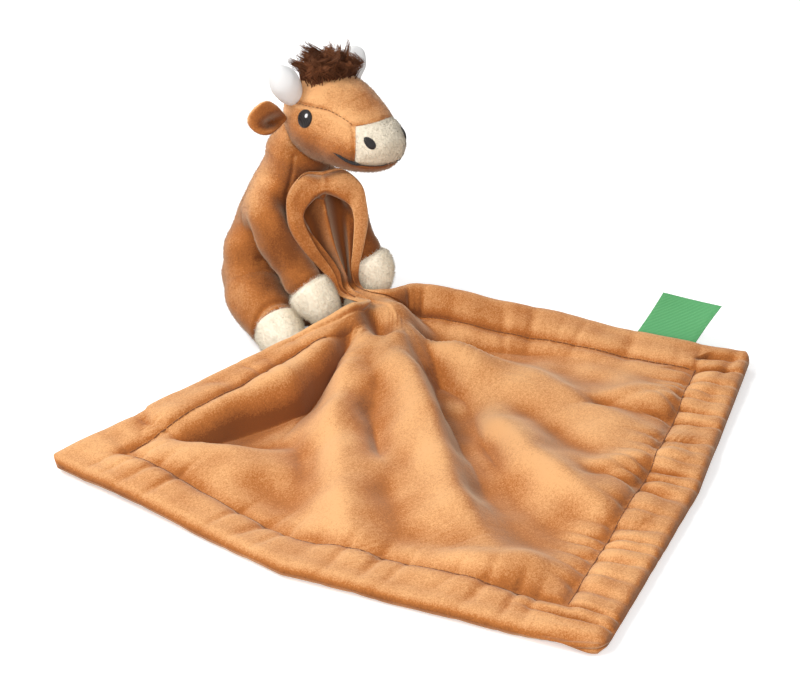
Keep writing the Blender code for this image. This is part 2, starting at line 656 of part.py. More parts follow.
def add_ears_horns_hair(room):
    """Soft leaf-shaped ears on their root lines, two felt horns, and the tuft between them."""
    for side, word in ((-1, "right"), (1, "left")):
        root = ear_pivot(side)
        lift = RIGHT_EAR_LIFT if side < 0 else LEFT_EAR_LIFT
        out = HEAD_LEFT * side * math.cos(lift) + HEAD_UP * math.sin(lift) - FACING * EAR_SWEEP_SHARE
        out.normalize()
        start = root - out * EAR_ROOT_RADIUS
        path = [tuple(start + out * (EAR_LENGTH * s)) for s in EAR_PATH_SHARES]
        wide = [EAR_HALF_WIDTH * s for s in EAR_SHARES]
        thick = [EAR_HALF_THICKNESS * s for s in EAR_SHARES]
        ear = stuffed(f"ear_{word}", path, wide, thick, ear_root_line(), 0.0, 14, 8, 2.2)
        make_piece(f"ear_{word}", ear, "velour")

        base = head_point(HORN_FORWARD, side * HORN_SIDE, HORN_RISE)
        out = HEAD_UP * math.cos(HORN_SPLAY) + HEAD_LEFT * (side * math.sin(HORN_SPLAY))
        bend = HEAD_UP * (HORN_LENGTH * HORN_BEND_SHARE)
        path = [tuple(base + out * (HORN_LENGTH * s) + bend * s**2) for s in HORN_PATH_SHARES]
        radii = [HORN_RADIUS * s for s in HORN_SHARES]
        cone = stuffed(f"horn_{word}", path, radii, radii, FACING, 0.0, 12, 8, 2.4)
        apply_cut(make_piece(f"horn_{word}", cone, "felt"), room)
    base = head_point(TUFT_FORWARD, 0.0, HEAD_HALF_HEIGHT - TUFT_ROOT_DEPTH)
    path = [tuple(base + HEAD_UP * (TUFT_HEIGHT * s)) for s in TUFT_PATH_SHARES]
    wide = [TUFT_HALF_WIDTH * s for s in TUFT_SHARES]
    long = [TUFT_HALF_LENGTH * s for s in TUFT_SHARES]
    tuft = stuffed("hair_tuft", path, wide, long, HEAD_LEFT, 0.0, 16, 8, 2.8)
    apply_cut(make_piece("hair_tuft", tuft, "hair"), room)


def half_space(name, point, direction):
    """Large block whose near face passes through a point, square to a direction."""
    ahead = Vector(direction).normalized()
    side = ahead.orthogonal().normalized()
    turn = Matrix((side, ahead.cross(side), ahead)).transposed()
    size = (4 * CUT_OVERRUN, 4 * CUT_OVERRUN, 4 * CUT_OVERRUN)
    return make_cutter(name, block(name, Vector(point) + ahead * (2 * CUT_OVERRUN), turn, size))


def add_limb(limb, end, word, form, seam, ahead, room, floor):
    """Sleeve, end cap of pile cloth and one stuffing that runs through both."""
    cover = make_piece(f"{limb}_{word}_cover", form(f"{limb}_{word}_cover", 0.0), "velour")
    cap = make_piece(f"{end}_{word}_cover", form(f"{end}_{word}_cover", 0.0), "sherpa")
    inside = form(f"{limb}_{word}_filling", -PLUSH_WALL - GAP)
    filling = make_piece(f"{limb}_{word}_filling", inside, "filling")
    hollow = make_cutter(f"{limb}_{word}_hollow", form(f"{limb}_{word}_hollow", -PLUSH_WALL))
    ahead = Vector(ahead).normalized()
    beyond = half_space(f"{limb}_{word}_beyond", seam, ahead)
    before = half_space(f"{limb}_{word}_before", Vector(seam) + ahead * GAP, -ahead)
    for piece in (cover, cap):
        apply_cut(piece, hollow)
        if floor:
            apply_cut(piece, floor)
    apply_cut(cover, beyond)
    apply_cut(cap, before)
    apply_cut(cover, room)
    apply_cut(filling, room)


def add_limbs():
    room = torso_room("torso_room", False)
    hip_room = torso_room("torso_room_hips", True)
    floor = bpy.data.objects["under_seat"]
    for side, word in ((-1, "right"), (1, "left")):

        def arm(name, grow, side=side):
            return arm_form(name, side, grow)

        def leg(name, grow, side=side):
            return leg_form(name, side, grow)

        forearm = arm_points(side)[-1]
        hand = hand_place(side)
        add_limb("arm", "hand", word, arm, forearm.lerp(hand, WRIST_SHARE), hand - forearm, room, None)
        ahead = leg_direction(side)
        seam = hip_point(side) + ahead * (LEG_LENGTH * ANKLE_SHARE)
        add_limb("leg", "hoof", word, leg, seam, ahead, hip_room, floor)


def rounded_flat(x, y):
    """Moves the flat square's points so that its four corners are quarter circles."""
    side = BLANKET_SIDE
    radius = BLANKET_CORNER_RADIUS
    middle = side / 2
    a = np.maximum(np.abs(x - middle) - (middle - radius), 0) / radius
    b = np.maximum(np.abs(y - middle) - (middle - radius), 0) / radius
    shrink_a = radius * a * (1 - np.sqrt(1 - b**2 / 2))
    shrink_b = radius * b * (1 - np.sqrt(1 - a**2 / 2))
    return x - np.sign(x - middle) * shrink_a, y - np.sign(y - middle) * shrink_b


def from_grip(shares):
    """Places given in shares of the blanket's side and of the grip's height."""
    shares = np.asarray(shares, float)
    place = shares * (BLANKET_SIDE, BLANKET_SIDE, GRIP_HEIGHT)
    return place + (GRIP_SIDE, -GRIP_FORWARD, 0.0)


def hood_axes():
    lateral = np.array([math.cos(HOOD_TURN), -math.sin(HOOD_TURN), 0.0])
    forward = np.array([-math.sin(HOOD_TURN), -math.cos(HOOD_TURN), 0.0])
    return lateral, forward


def hood_line(height):
    """Middle line of the hood, from the grip to its top."""
    height = np.asarray(height, float)[..., None]
    base = np.array([GRIP_SIDE, -GRIP_FORWARD, GRIP_HEIGHT])
    rise = np.array([-HOOD_LEAN_RIGHT, HOOD_LEAN_BACK, HOOD_HEIGHT])
    bow = np.array([-HOOD_BOW_RIGHT, HOOD_BOW_BACK, 0.0])
    return base + height * rise + 4 * height * (1 - height) * bow


def blanket_runs():
    """Back edge, middle and left edge of the cloth, each from the hood's top to the far border."""
    lateral, forward = hood_axes()
    grip = np.array([GRIP_SIDE, -GRIP_FORWARD, GRIP_HEIGHT])
    rim = np.asarray(HOOD_RIM_SHARES, float)
    centre = hood_line(rim[:, 0])
    lip = forward * (HOOD_LIP * rim[:, 2])[:, None]
    wide = lateral * (HOOD_HALF_WIDTH * rim[:, 1])[:, None]
    waist_front = grip + np.array([0.0, -GRIP_DEPTH * GRIP_FRONT_SHARE, 0.0])
    waist_side = np.array([GRIP_HALF_WIDTH, 0.0, 0.0])
    middle = np.asarray(HOOD_MIDDLE_SHARES, float)
    back = hood_line(middle[:, 0]) - forward * (HOOD_DEPTH * middle[:, 1])[:, None]
    waist_back = grip + np.array([0.0, GRIP_DEPTH * (1 - GRIP_FRONT_SHARE), 0.0])
    hood = (
        np.concatenate([centre + lip + wide, [waist_front + waist_side]]),
        np.concatenate([back, [waist_back]]),
        np.concatenate([centre + lip - wide, [waist_front - waist_side]]),
    )
    spread = (from_grip(BACK_EDGE_SHARES), from_grip(MIDDLE_RUN_SHARES), from_grip(LEFT_EDGE_SHARES))
    return [(np.concatenate([h, s]), len(h) - 1) for h, s in zip(hood, spread)]


def run_places(run, along_hood, along_spread, in_hood):
    """Points of one run, whose smooth curve goes through the waist without a corner."""
    points, waist = run
    fine = smooth_knots(points)
    length = np.concatenate([[0], np.cumsum(np.linalg.norm(np.diff(fine, axis=0), axis=1))])
    held = length[waist * KNOT_STEPS]
    place = np.where(in_hood, along_hood * held, held + along_spread * (length[-1] - held))
    return np.stack([np.interp(place, length, fine[:, k]) for k in range(3)], axis=-1)


def ease(value):
    value = np.clip(value, 0, 1)
    return value * value * (3 - 2 * value)


def fold_height(place, crest_shares, left_share, right_share):
    """Height of one fold: its crest's height times exp(-(distance / width)^2), with two widths."""
    crest = smooth_run(from_grip(crest_shares), np.linspace(0, 1, 33))
    run = np.gradient(crest[:, :2], axis=0)
    away = place[..., None, :2] - crest[:, :2]
    distance = np.linalg.norm(away, axis=-1)
    nearest = distance.argmin(-1)
    gap = np.take_along_axis(distance, nearest[..., None], -1)[..., 0]
    beside = np.take_along_axis(away, nearest[..., None, None], -2)[..., 0, :]
    ahead = run[nearest]
    on_left = ahead[..., 0] * beside[..., 1] - ahead[..., 1] * beside[..., 0] > 0
    width = BLANKET_SIDE * np.where(on_left, left_share, right_share)
    return np.maximum(crest[nearest, 2], 0) * np.exp(-((gap / width) ** 2))


def blanket_surface(x, y):
    """Place in space of the flat point (x, y); (0, 0) is the held corner, x runs along the back edge.

    The larger of x and y says how far along the point is: over the hood, the waist and the spread
    cloth. Their ratio says where it is across, from the back edge over the middle to the left edge:
    round like half an oval in the hood, like a U at the waist, and straight on the table. Folds
    then add their heights.
    """
    half_side = np.maximum(x, y)
    share = np.where(half_side > 0, np.minimum(x, y) / np.maximum(half_side, 1e-9), 0)
    across = np.where(x >= y, share - 1, 1 - share)
    along_hood = np.clip(half_side / HELD_SIDE, 0, 1)
    along_spread = np.clip((half_side - HELD_SIDE) / (BLANKET_SIDE - HELD_SIDE), 0, 1)
    in_hood = half_side <= HELD_SIDE
    back_edge, middle, left_edge = (
        run_places(run, along_hood, along_spread, in_hood) for run in blanket_runs()
    )
    flatness = ease(along_spread / FLATTEN_SHARE)
    centre = (back_edge + left_edge) / 2
    half = (back_edge - left_edge) / 2
    width = np.linalg.norm(half, axis=-1)
    depth = np.maximum(np.linalg.norm(centre - middle, axis=-1), 1e-9)
    ratio = np.clip(width / depth, 0.05, 1)
    arc = (np.pi / 2 * ratio) / (1 - ratio + np.pi / 2 * ratio)
    bend = np.abs(across)
    turn = np.pi / 2 * np.clip(bend / arc, 0, 1)
    beyond = np.clip((bend - arc) / np.maximum(1 - arc, 1e-9), 0, 1)
    inward = (1 - flatness) * (ratio * (1 - np.cos(turn)) + (1 - ratio) * beyond) + flatness * bend
    aside = (1 - flatness) * np.sign(across) * np.sin(turn) + flatness * across
    place = middle + inward[..., None] * (centre - middle) - aside[..., None] * half
    front = smooth_run(np.asarray(FRONT_BOW_SHARES) * BLANKET_SIDE, np.clip(across, 0, 1))
    beside = smooth_run(np.asarray(SIDE_BOW_SHARES) * BLANKET_SIDE, np.clip(-across, 0, 1))
    place[..., :2] += (along_spread**2)[..., None] * (front + beside)
    table = PANEL_THICKNESS + GAP / 2 + TABLE_CLEARANCE
    slope = EDGE_FALL_LENGTH * (
        EDGE_FALL_START_SHARE + (1 - EDGE_FALL_START_SHARE) * ease(along_spread / EDGE_FALL_END_SHARE)
    )
    lifts = [
        np.maximum(left_edge[..., 2] - table, 0) * np.exp(-((x / slope) ** 2)),
        np.maximum(back_edge[..., 2] - table, 0) * np.exp(-((y / slope) ** 2)),
    ]
    lifts += [fold_height(place, *fold) for fold in FOLD_SHARES]
    lifts.append((GRIP_HEIGHT - table) * np.exp(-np.maximum(half_side - HELD_SIDE, 0) / CONE_REACH))
    draped = table + np.sum(np.asarray(lifts) ** 3, axis=0) ** (1 / 3)
    settle = np.where(in_hood, 0, ease(along_spread / SETTLE_SHARE))
    place[..., 2] = (1 - settle) * place[..., 2] + settle * draped
    return place


def surface_normal(place):
    """Unit directions across the cloth on a grid of places, evened out over the neighbours."""
    across = place[1:, 1:] - place[:-1, :-1]
    along = place[:-1, 1:] - place[1:, :-1]
    cell = np.cross(along, across)
    cell /= np.maximum(np.linalg.norm(cell, axis=-1, keepdims=True), 1e-12)
    total = np.zeros_like(place)
    for i, j in ((0, 0), (0, 1), (1, 0), (1, 1)):
        total[i : i + cell.shape[0], j : j + cell.shape[1]] += cell
    for _ in range(NORMAL_PASSES):
        total /= np.maximum(np.linalg.norm(total, axis=-1, keepdims=True), 1e-12)
        padded = np.pad(total, ((1, 1), (1, 1), (0, 0)), mode="edge")
        total = padded[:-2, 1:-1] + padded[2:, 1:-1] + padded[1:-1, :-2] + padded[1:-1, 2:] + total
    return total / np.maximum(np.linalg.norm(total, axis=-1, keepdims=True), 1e-12)


def panel_mesh(name, low, high):
    """Closed slab between two grids of places."""
    rows, columns = low.shape[:2]
    vertices = [tuple(p) for p in low.reshape(-1, 3)] + [tuple(p) for p in high.reshape(-1, 3)]
    count = rows * columns
    faces = []
    for i in range(rows - 1):
        for j in range(columns - 1):
            a = i * columns + j
            b = a + columns
            faces += [(a, a + 1, b + 1), (a, b + 1, b)]
            faces += [(count + a, count + b + 1, count + a + 1), (count + a, count + b, count + b + 1)]
    rim = [i * columns for i in range(rows)]
    rim += [(rows - 1) * columns + j for j in range(1, columns)]
    rim += [i * columns + columns - 1 for i in range(rows - 2, -1, -1)]
    rim += [j for j in range(columns - 2, 0, -1)]
    for a, b in zip(rim, rim[1:] + rim[:1]):
        faces.append((a, b, count + b, count + a))
    mesh = bpy.data.meshes.new(name)
    mesh.from_pydata(vertices, [], faces)
    tidy = bmesh.new()
    tidy.from_mesh(mesh)
    bmesh.ops.recalc_face_normals(tidy, faces=tidy.faces)
    tidy.to_mesh(mesh)
    tidy.free()
    mesh.shade_smooth()
    return mesh


def add_blanket():
    """Back panel on the table side and top panel over it, thicker along the sewn border."""
    ticks = np.concatenate([
        np.linspace(0, BORDER_WIDTH, BORDER_CELLS, endpoint=False),
        np.linspace(BORDER_WIDTH, HELD_SIDE, HOOD_CELLS, endpoint=False),
        np.linspace(HELD_SIDE, HELD_SIDE + WAIST_REACH, WAIST_CELLS, endpoint=False),
        np.linspace(HELD_SIDE + WAIST_REACH, BLANKET_SIDE - BORDER_WIDTH, SPREAD_CELLS, endpoint=False),
        np.linspace(BLANKET_SIDE - BORDER_WIDTH, BLANKET_SIDE, BORDER_CELLS + 1),
    ])
    x, y = np.meshgrid(ticks, ticks, indexing="ij")
    flat_x, flat_y = rounded_flat(x, y)
    place = blanket_surface(flat_x, flat_y)
    normal = surface_normal(place)
    edge = np.minimum(np.minimum(flat_x, flat_y), BLANKET_SIDE - np.maximum(flat_x, flat_y))
    away = np.maximum(flat_x, flat_y) - HELD_SIDE
    held = np.exp(-((away / GRIP_PRESS_REACH) ** 2))
    roll = np.sqrt(1 - (1 - np.clip(edge / BORDER_EDGE_RADIUS, 0, 1)) ** 2)
    inside = np.exp(-np.maximum(edge - BORDER_WIDTH, 0) / BORDER_FADE)
    groove = STITCH_GROOVE_SHARE * np.exp(-(((edge - BORDER_WIDTH) / STITCH_GROOVE_WIDTH) ** 2))
    puff = BORDER_PUFF * roll * inside * (1 - groove) * (1 - held)
    half = GAP / 2
    wall = (PANEL_THICKNESS * (1 - GRIP_PRESS_SHARE * held))[..., None]
    back_low = place - normal * (half + wall)
    back_low[..., 2] = np.maximum(back_low[..., 2], 0)
    back_high = place - normal * half
    top_low = place + normal * half
    top_high = place + normal * (half + wall + puff[..., None])
    make_piece("blanket_back", panel_mesh("blanket_back", back_low, back_high), "velour")
    make_piece("blanket_top", panel_mesh("blanket_top", top_low, top_high), "velour")


def add_tacks():
    """Short stretches of thread that cross from each hand to the cloth of the waist."""
    for side, word in ((-1, "right"), (1, "left")):
        hand = hand_place(side)
        wall = GRIP_SIDE + side * (GRIP_HALF_WIDTH + PANEL_THICKNESS * (1 - GRIP_PRESS_SHARE) + 2 * GAP)
        start = Vector((wall, hand.y, hand.z))
        stitch = rod(f"hand_tack_{word}", start, (side, 0, 0), HAND_RADIUS, TACK_RADIUS, TACK_RADIUS,
                     (0, 0, 1), 12)
        tack = make_piece(f"hand_tack_{word}", stitch, "thread")
        apply_cut(tack, make_cutter(f"hand_room_{word}", arm_form(f"hand_room_{word}", side, GAP)))


def add_label():
    """Folded ribbon sewn into the back edge, leaning outwards."""
    half = LABEL_WIDTH / 2
    places = LABEL_EDGE_SHARE + LABEL_EDGE_STEP_SHARE * np.array([-1.0, 0.0, 1.0])
    before, middle, after = run_places(blanket_runs()[0], places, places, np.zeros(3, bool))
    ahead = after - before
    ahead[2] = 0.0
    ahead /= np.linalg.norm(ahead)
    outward = np.array([-ahead[1], ahead[0], 0.0])
    rise = outward * math.sin(LABEL_LEAN) + np.array([0.0, 0.0, math.cos(LABEL_LEAN)])
    face = np.cross(ahead, rise)
    base = middle + outward * (LABEL_THICKNESS / 2 + LABEL_EDGE_ROOM)
    corners = (
        base - ahead * half,
        base + ahead * half,
        base + ahead * (half + LABEL_TOP_OFFSET) + rise * (LABEL_HEIGHT - LABEL_TOP_DROP),
        base - ahead * (half - LABEL_TOP_OFFSET) + rise * LABEL_HEIGHT,
    )
    shape = bmesh.new()
    near = [shape.verts.new(p - face * (LABEL_THICKNESS / 2)) for p in corners]
    far = [shape.verts.new(p + face * (LABEL_THICKNESS / 2)) for p in corners]
    shape.faces.new(near)
    shape.faces.new(far[::-1])
    for k in range(4):
        n = (k + 1) % 4
        shape.faces.new((near[k], far[k], far[n], near[n]))
    bmesh.ops.recalc_face_normals(shape, faces=shape.faces)
    mesh = bpy.data.meshes.new("label")
    shape.to_mesh(mesh)
    shape.free()
    make_piece("label", mesh, "ribbon")


add_torso()
add_head()
add_ears_horns_hair(add_face())
add_limbs()
add_blanket()
add_tacks()
add_label()
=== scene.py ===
# %% [markdown]
# A comfort blanket: a small stuffed calf that hugs one corner of a square velour cloth.
#
# The solids come from the frame, already in place. This script dresses them: each cover is worked
# out again as a fine surface with its seams, dents and pile, and the solid under it is hidden.
# Everything is in metres, and the calf looks along -Y.

# %% Load the frame
import json
import math

import bmesh
import bpy
import numpy as np
from mathutils import Matrix, Vector
from mathutils.bvhtree import BVHTree

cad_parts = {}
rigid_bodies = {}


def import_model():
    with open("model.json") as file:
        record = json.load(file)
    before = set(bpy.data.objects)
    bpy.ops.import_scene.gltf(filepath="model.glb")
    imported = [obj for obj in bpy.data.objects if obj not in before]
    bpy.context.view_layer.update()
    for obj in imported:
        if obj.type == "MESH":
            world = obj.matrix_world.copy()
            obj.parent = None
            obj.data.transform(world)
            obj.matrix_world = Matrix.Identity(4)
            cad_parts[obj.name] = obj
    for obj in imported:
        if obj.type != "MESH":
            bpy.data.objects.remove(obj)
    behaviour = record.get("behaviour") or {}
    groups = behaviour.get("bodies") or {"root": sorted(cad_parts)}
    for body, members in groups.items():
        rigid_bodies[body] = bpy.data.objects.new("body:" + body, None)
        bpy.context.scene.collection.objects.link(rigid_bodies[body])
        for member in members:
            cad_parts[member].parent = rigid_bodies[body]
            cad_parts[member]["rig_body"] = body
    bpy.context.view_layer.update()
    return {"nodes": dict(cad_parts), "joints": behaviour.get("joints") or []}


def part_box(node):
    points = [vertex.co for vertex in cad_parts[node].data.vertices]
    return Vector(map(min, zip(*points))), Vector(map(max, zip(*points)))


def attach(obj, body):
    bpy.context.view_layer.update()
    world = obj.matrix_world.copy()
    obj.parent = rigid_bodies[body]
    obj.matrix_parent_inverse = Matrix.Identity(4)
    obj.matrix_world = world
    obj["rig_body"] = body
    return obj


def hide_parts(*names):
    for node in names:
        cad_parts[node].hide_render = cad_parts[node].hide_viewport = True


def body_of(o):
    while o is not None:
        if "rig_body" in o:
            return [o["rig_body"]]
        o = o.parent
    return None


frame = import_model()
MM = 0.001
ROOT = "torso_and_blanket"

# %% [markdown]
# ## Curves and meshes
#
# Three small tools do most of the work: a smooth curve through a few points, a smooth reading of a
# short table, and a mesh made from whole arrays. Arrays keep the script quick, because no loop in
# Python visits the points one by one.

# %% Curves through points
KNOT_STEPS = 24


def smooth_knots(points):
    """Catmull-Rom curve: on each span a cubic that leaves a point parallel to its two neighbours."""
    points = np.asarray(points, float)
    ends = np.concatenate([[2 * points[0] - points[1]], points, [2 * points[-1] - points[-2]]])
    steps = np.linspace(0, len(points) - 1, KNOT_STEPS * (len(points) - 1) + 1)
    span = np.minimum(steps.astype(int), len(points) - 2)
    f = (steps - span)[:, None]
    a, b, c, d = (ends[span + k] for k in range(4))
    return 0.5 * (2 * b + (c - a) * f + (2 * a - 5 * b + 4 * c - d) * f**2 + (3 * b - a - 3 * c + d) * f**3)


def smooth_run(points, places):
    """The same curve read at shares of its own length."""
    curve = smooth_knots(points)
    length = np.concatenate([[0], np.cumsum(np.linalg.norm(np.diff(curve, axis=0), axis=1))])
    places = np.asarray(places, float) * length[-1]
    return np.stack([np.interp(places, length, curve[:, k]) for k in range(curve.shape[1])], axis=-1)


def even_values(values, places):
    """A table set at even shares, read with the same cubic between its entries."""
    values = np.asarray(values, float)
    ends = np.concatenate([[2 * values[0] - values[1]], values, [2 * values[-1] - values[-2]]])
    place = np.clip(places, 0, 1) * (len(values) - 1)
    span = np.minimum(place.astype(int), len(values) - 2)
    f = place - span
    a, b, c, d = (ends[span + k] for k in range(4))
    return 0.5 * (2 * b + (c - a) * f + (2 * a - 5 * b + 4 * c - d) * f**2 + (3 * b - a - 3 * c + d) * f**3)


def ease(value):
    """0 below 0, 1 above 1, and 3v^2 - 2v^3 between."""
    value = np.clip(value, 0, 1)
    return value * value * (3 - 2 * value)


def unit(vectors):
    return vectors / np.maximum(np.linalg.norm(vectors, axis=-1, keepdims=True), 1e-12)


def soft_noise(points, pitch, seed, waves=12):
    """Smooth lumps: a sum of sines along fixed random directions, with a wavelength near the pitch."""
    random = np.random.default_rng(seed)
    directions = unit(random.normal(size=(waves, 3)))
    numbers = directions * (2 * np.pi / pitch) * random.uniform(0.6, 1.5, (waves, 1))
    phases = random.uniform(0, 2 * np.pi, waves)
    return np.sin(points @ numbers.T + phases).sum(-1) / math.sqrt(waves / 2)


def ring(side, up, sides):
    """Circles round many places: side times cos(a) plus up times sin(a), at even angles a."""
    angle = 2 * np.pi * np.arange(sides)[:, None] / sides
    return np.cos(angle) * side[..., None, :] + np.sin(angle) * up[..., None, :]


def tube_faces(rings, sides):
    """Quads between neighbouring rings of points that are counted ring by ring, and the rings' numbers."""
    index = np.arange(rings * sides).reshape(rings, sides)
    after = np.roll(index, -1, axis=1)
    return np.stack([index[:-1], after[:-1], after[1:], index[1:]], axis=-1).reshape(-1, 4), index, after


# %% Meshes from arrays
def mesh_of(name, points, quads, triangles=()):
    """Mesh from arrays of points, four-cornered faces and three-cornered faces."""
    quads = np.asarray(quads, np.int32).reshape(-1, 4)
    triangles = np.asarray(triangles, np.int32).reshape(-1, 3)
    corners = np.concatenate([quads.ravel(), triangles.ravel()])
    starts = np.concatenate([4 * np.arange(len(quads)), 4 * len(quads) + 3 * np.arange(len(triangles))])
    mesh = bpy.data.meshes.new(name)
    mesh.vertices.add(len(points))
    mesh.vertices.foreach_set("co", np.asarray(points, np.float32).ravel())
    mesh.loops.add(len(corners))
    mesh.loops.foreach_set("vertex_index", corners.astype(np.int32))
    mesh.polygons.add(len(starts))
    mesh.polygons.foreach_set("loop_start", starts.astype(np.int32))
    mesh.update(calc_edges=True)
    mesh.validate()
    mesh.shade_smooth()
    return mesh


def outward(points, quads, triangles):
    """Turns all faces round if the volume they enclose comes out negative."""
    a, b, c, d = (points[quads[:, k]] for k in range(4))
    volume = (a * np.cross(b, c)).sum() + (a * np.cross(c, d)).sum()
    if len(triangles):
        a, b, c = (points[triangles[:, k]] for k in range(3))
        volume += (a * np.cross(b, c)).sum()
    if volume < 0:
        return quads[:, ::-1], triangles[:, ::-1]
    return quads, triangles


def piece_from(name, mesh, body, material, nodes=()):
    """Puts a mesh in the scene, lets it ride on a body and hides the solids it stands for."""
    piece = bpy.data.objects.new(name, mesh)
    bpy.context.scene.collection.objects.link(piece)
    mesh.materials.append(material)
    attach(piece, body)
    if nodes:
        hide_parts(*nodes)
    return piece


def add_values(mesh, name, values):
    """Keeps one number for each point, which a material can read."""
    attribute = mesh.attributes.new(name, "FLOAT", "POINT")
    attribute.data.foreach_set("value", np.asarray(values, np.float32).ravel())


def mesh_points(mesh):
    points = np.empty(len(mesh.vertices) * 3, np.float32)
    mesh.vertices.foreach_get("co", points)
    return points.reshape(-1, 3).astype(float)


def mesh_normals(mesh):
    normals = np.empty(len(mesh.vertices) * 3, np.float32)
    mesh.vertex_normals.foreach_get("vector", normals)
    return normals.reshape(-1, 3).astype(float)


def push(mesh, height):
    """Moves each point along its normal by the height there."""
    points = mesh_points(mesh) + mesh_normals(mesh) * height[:, None]
    mesh.vertices.foreach_set("co", points.astype(np.float32).ravel())
    mesh.update()


def line_distance(points, line):
    """Distance of each point from the nearest of many places along a smooth line."""
    fine = smooth_knots(line)[::4]
    return np.linalg.norm(points[..., None, :] - fine, axis=-1).min(-1)


# %% [markdown]
# ## Cloth and thread
#
# Velour is a knit with a dense short pile. Where it is brushed one way or the other it looks pale
# or deep, so the colour is mixed from three tones by slow patches, a fine grain and a number that
# each mesh keeps. That number holds the nap together with painted light and shade: pale where the
# skin faces the lamps, deep in hollows. The sheen of the Principled shader adds the pale rim of the fibres.
# One node group, built once, gives the tone and the height to every pile cloth.

# %% The pile group
CLAY = (0.200, 0.056, 0.010)
CARAMEL = (0.440, 0.145, 0.030)
HONEY = (0.790, 0.415, 0.175)
MUZZLE_TONES = ((0.74, 0.64, 0.49), (0.84, 0.75, 0.60), (0.90, 0.81, 0.66))
CREAM_ROOT = (0.87, 0.77, 0.60)
CREAM = (0.98, 0.92, 0.80)
CREAM_SHADE = (0.95, 0.87, 0.72)
WHITE_FELT = (0.77, 0.77, 0.77)


PATCH_SHARE = 0.32
GRAIN_SHARE = 0.60
MIDDLE_GRAIN_SHARE = 0.25
MIDDLE_SCALE_SHARE = 0.45
DEEP_BELOW = 0.68
PALE_ABOVE = 1.48


def new_group(name, inputs, outputs):
    group = bpy.data.node_groups.new(name, "ShaderNodeTree")
    for label, kind, value in inputs:
        socket = group.interface.new_socket(name=label, in_out="INPUT", socket_type=kind)
        socket.default_value = value
    for label, kind in outputs:
        group.interface.new_socket(name=label, in_out="OUTPUT", socket_type=kind)
    return group, group.nodes.new("NodeGroupInput"), group.nodes.new("NodeGroupOutput")


def math_node(group, operation, *values):
    """A Math node; a value that is another node's output is linked, and a number is set."""
    node = group.nodes.new("ShaderNodeMath")
    node.operation = operation
    for number, value in enumerate(values):
        if isinstance(value, bpy.types.NodeSocket):
            group.links.new(value, node.inputs[number])
        else:
            node.inputs[number].default_value = value
    return node.outputs[0]


def pile_group():
    """Colour and height of a pile: slow patches, a fine grain, and the nap with painted light and shade that
    the mesh gives.
    """
    group, given, result = new_group(
        "pile tone",
        [
            ("Deep", "NodeSocketColor", (*CLAY, 1)),
            ("Middle", "NodeSocketColor", (*CARAMEL, 1)),
            ("Pale", "NodeSocketColor", (*HONEY, 1)),
            ("Patches", "NodeSocketFloat", 40.0),
            ("Grain", "NodeSocketFloat", 1100.0),
            ("Shade and nap", "NodeSocketFloat", 0.5),
        ],
        [("Colour", "NodeSocketColor"), ("Height", "NodeSocketFloat")],
    )
    node = group.nodes.new
    link = group.links.new
    place = node("ShaderNodeTexCoord")
    patches = node("ShaderNodeTexNoise")
    patches.inputs["Detail"].default_value = 3.0
    patches.inputs["Roughness"].default_value = 0.6
    grain = node("ShaderNodeTexNoise")
    grain.inputs["Detail"].default_value = 2.0
    middle_grain = node("ShaderNodeTexNoise")
    middle_grain.inputs["Detail"].default_value = 2.0
    for texture in (patches, grain, middle_grain):
        link(place.outputs["Object"], texture.inputs["Vector"])
    link(given.outputs["Patches"], patches.inputs["Scale"])
    link(given.outputs["Grain"], grain.inputs["Scale"])
    middle_scale = math_node(group, "MULTIPLY", given.outputs["Grain"], MIDDLE_SCALE_SHARE)
    link(middle_scale, middle_grain.inputs["Scale"])
    total = math_node(group, "MULTIPLY_ADD", patches.outputs["Fac"], PATCH_SHARE, given.outputs["Shade and nap"])
    total = math_node(group, "MULTIPLY_ADD", grain.outputs["Fac"], GRAIN_SHARE, total)
    total = math_node(group, "MULTIPLY_ADD", middle_grain.outputs["Fac"], MIDDLE_GRAIN_SHARE, total)
    ramp = node("ShaderNodeMapRange")
    ramp.inputs["From Min"].default_value = DEEP_BELOW
    ramp.inputs["From Max"].default_value = PALE_ABOVE
    link(total, ramp.inputs["Value"])
    low = node("ShaderNodeMapRange")
    low.inputs["From Max"].default_value = 0.5
    high = node("ShaderNodeMapRange")
    high.inputs["From Min"].default_value = 0.5
    for half in (low, high):
        link(ramp.outputs["Result"], half.inputs["Value"])
    first = node("ShaderNodeMix")
    first.data_type = "RGBA"
    second = node("ShaderNodeMix")
    second.data_type = "RGBA"
    link(low.outputs["Result"], first.inputs["Factor"])
    link(given.outputs["Deep"], first.inputs["A"])
    link(given.outputs["Middle"], first.inputs["B"])
    link(high.outputs["Result"], second.inputs["Factor"])
    link(first.outputs["Result"], second.inputs["A"])
    link(given.outputs["Pale"], second.inputs["B"])
    link(second.outputs["Result"], result.inputs["Colour"])
    height = math_node(group, "ADD", grain.outputs["Fac"], middle_grain.outputs["Fac"])
    link(height, result.inputs["Height"])
    return group


PILE_GROUP = pile_group()


# %% [markdown]
# ## Materials
#
# Each material keeps its own Principled shader. Roughness and sheen are plain numbers on its
# sockets, because they are the same all over the cloth. Only colour and bump vary.

# %% Pile cloths
SHEEN_GOLD = (1.0, 0.80, 0.58)
SHEEN_CREAM = (1, 0.97, 0.9)
WHITE = (1, 1, 1)
# Warm colour of the painted glow on the fleece.
GLOW = (1.0, 0.86, 0.66)


def new_material(name, roughness, specular):
    """A material with a Principled shader; also its nodes and the call that links them."""
    material = bpy.data.materials.new(name)
    material.use_nodes = True
    nodes = material.node_tree.nodes
    shader = nodes["Principled BSDF"]
    shader.inputs["Roughness"].default_value = roughness
    shader.inputs["Specular IOR Level"].default_value = specular
    return material, shader, nodes, material.node_tree.links.new


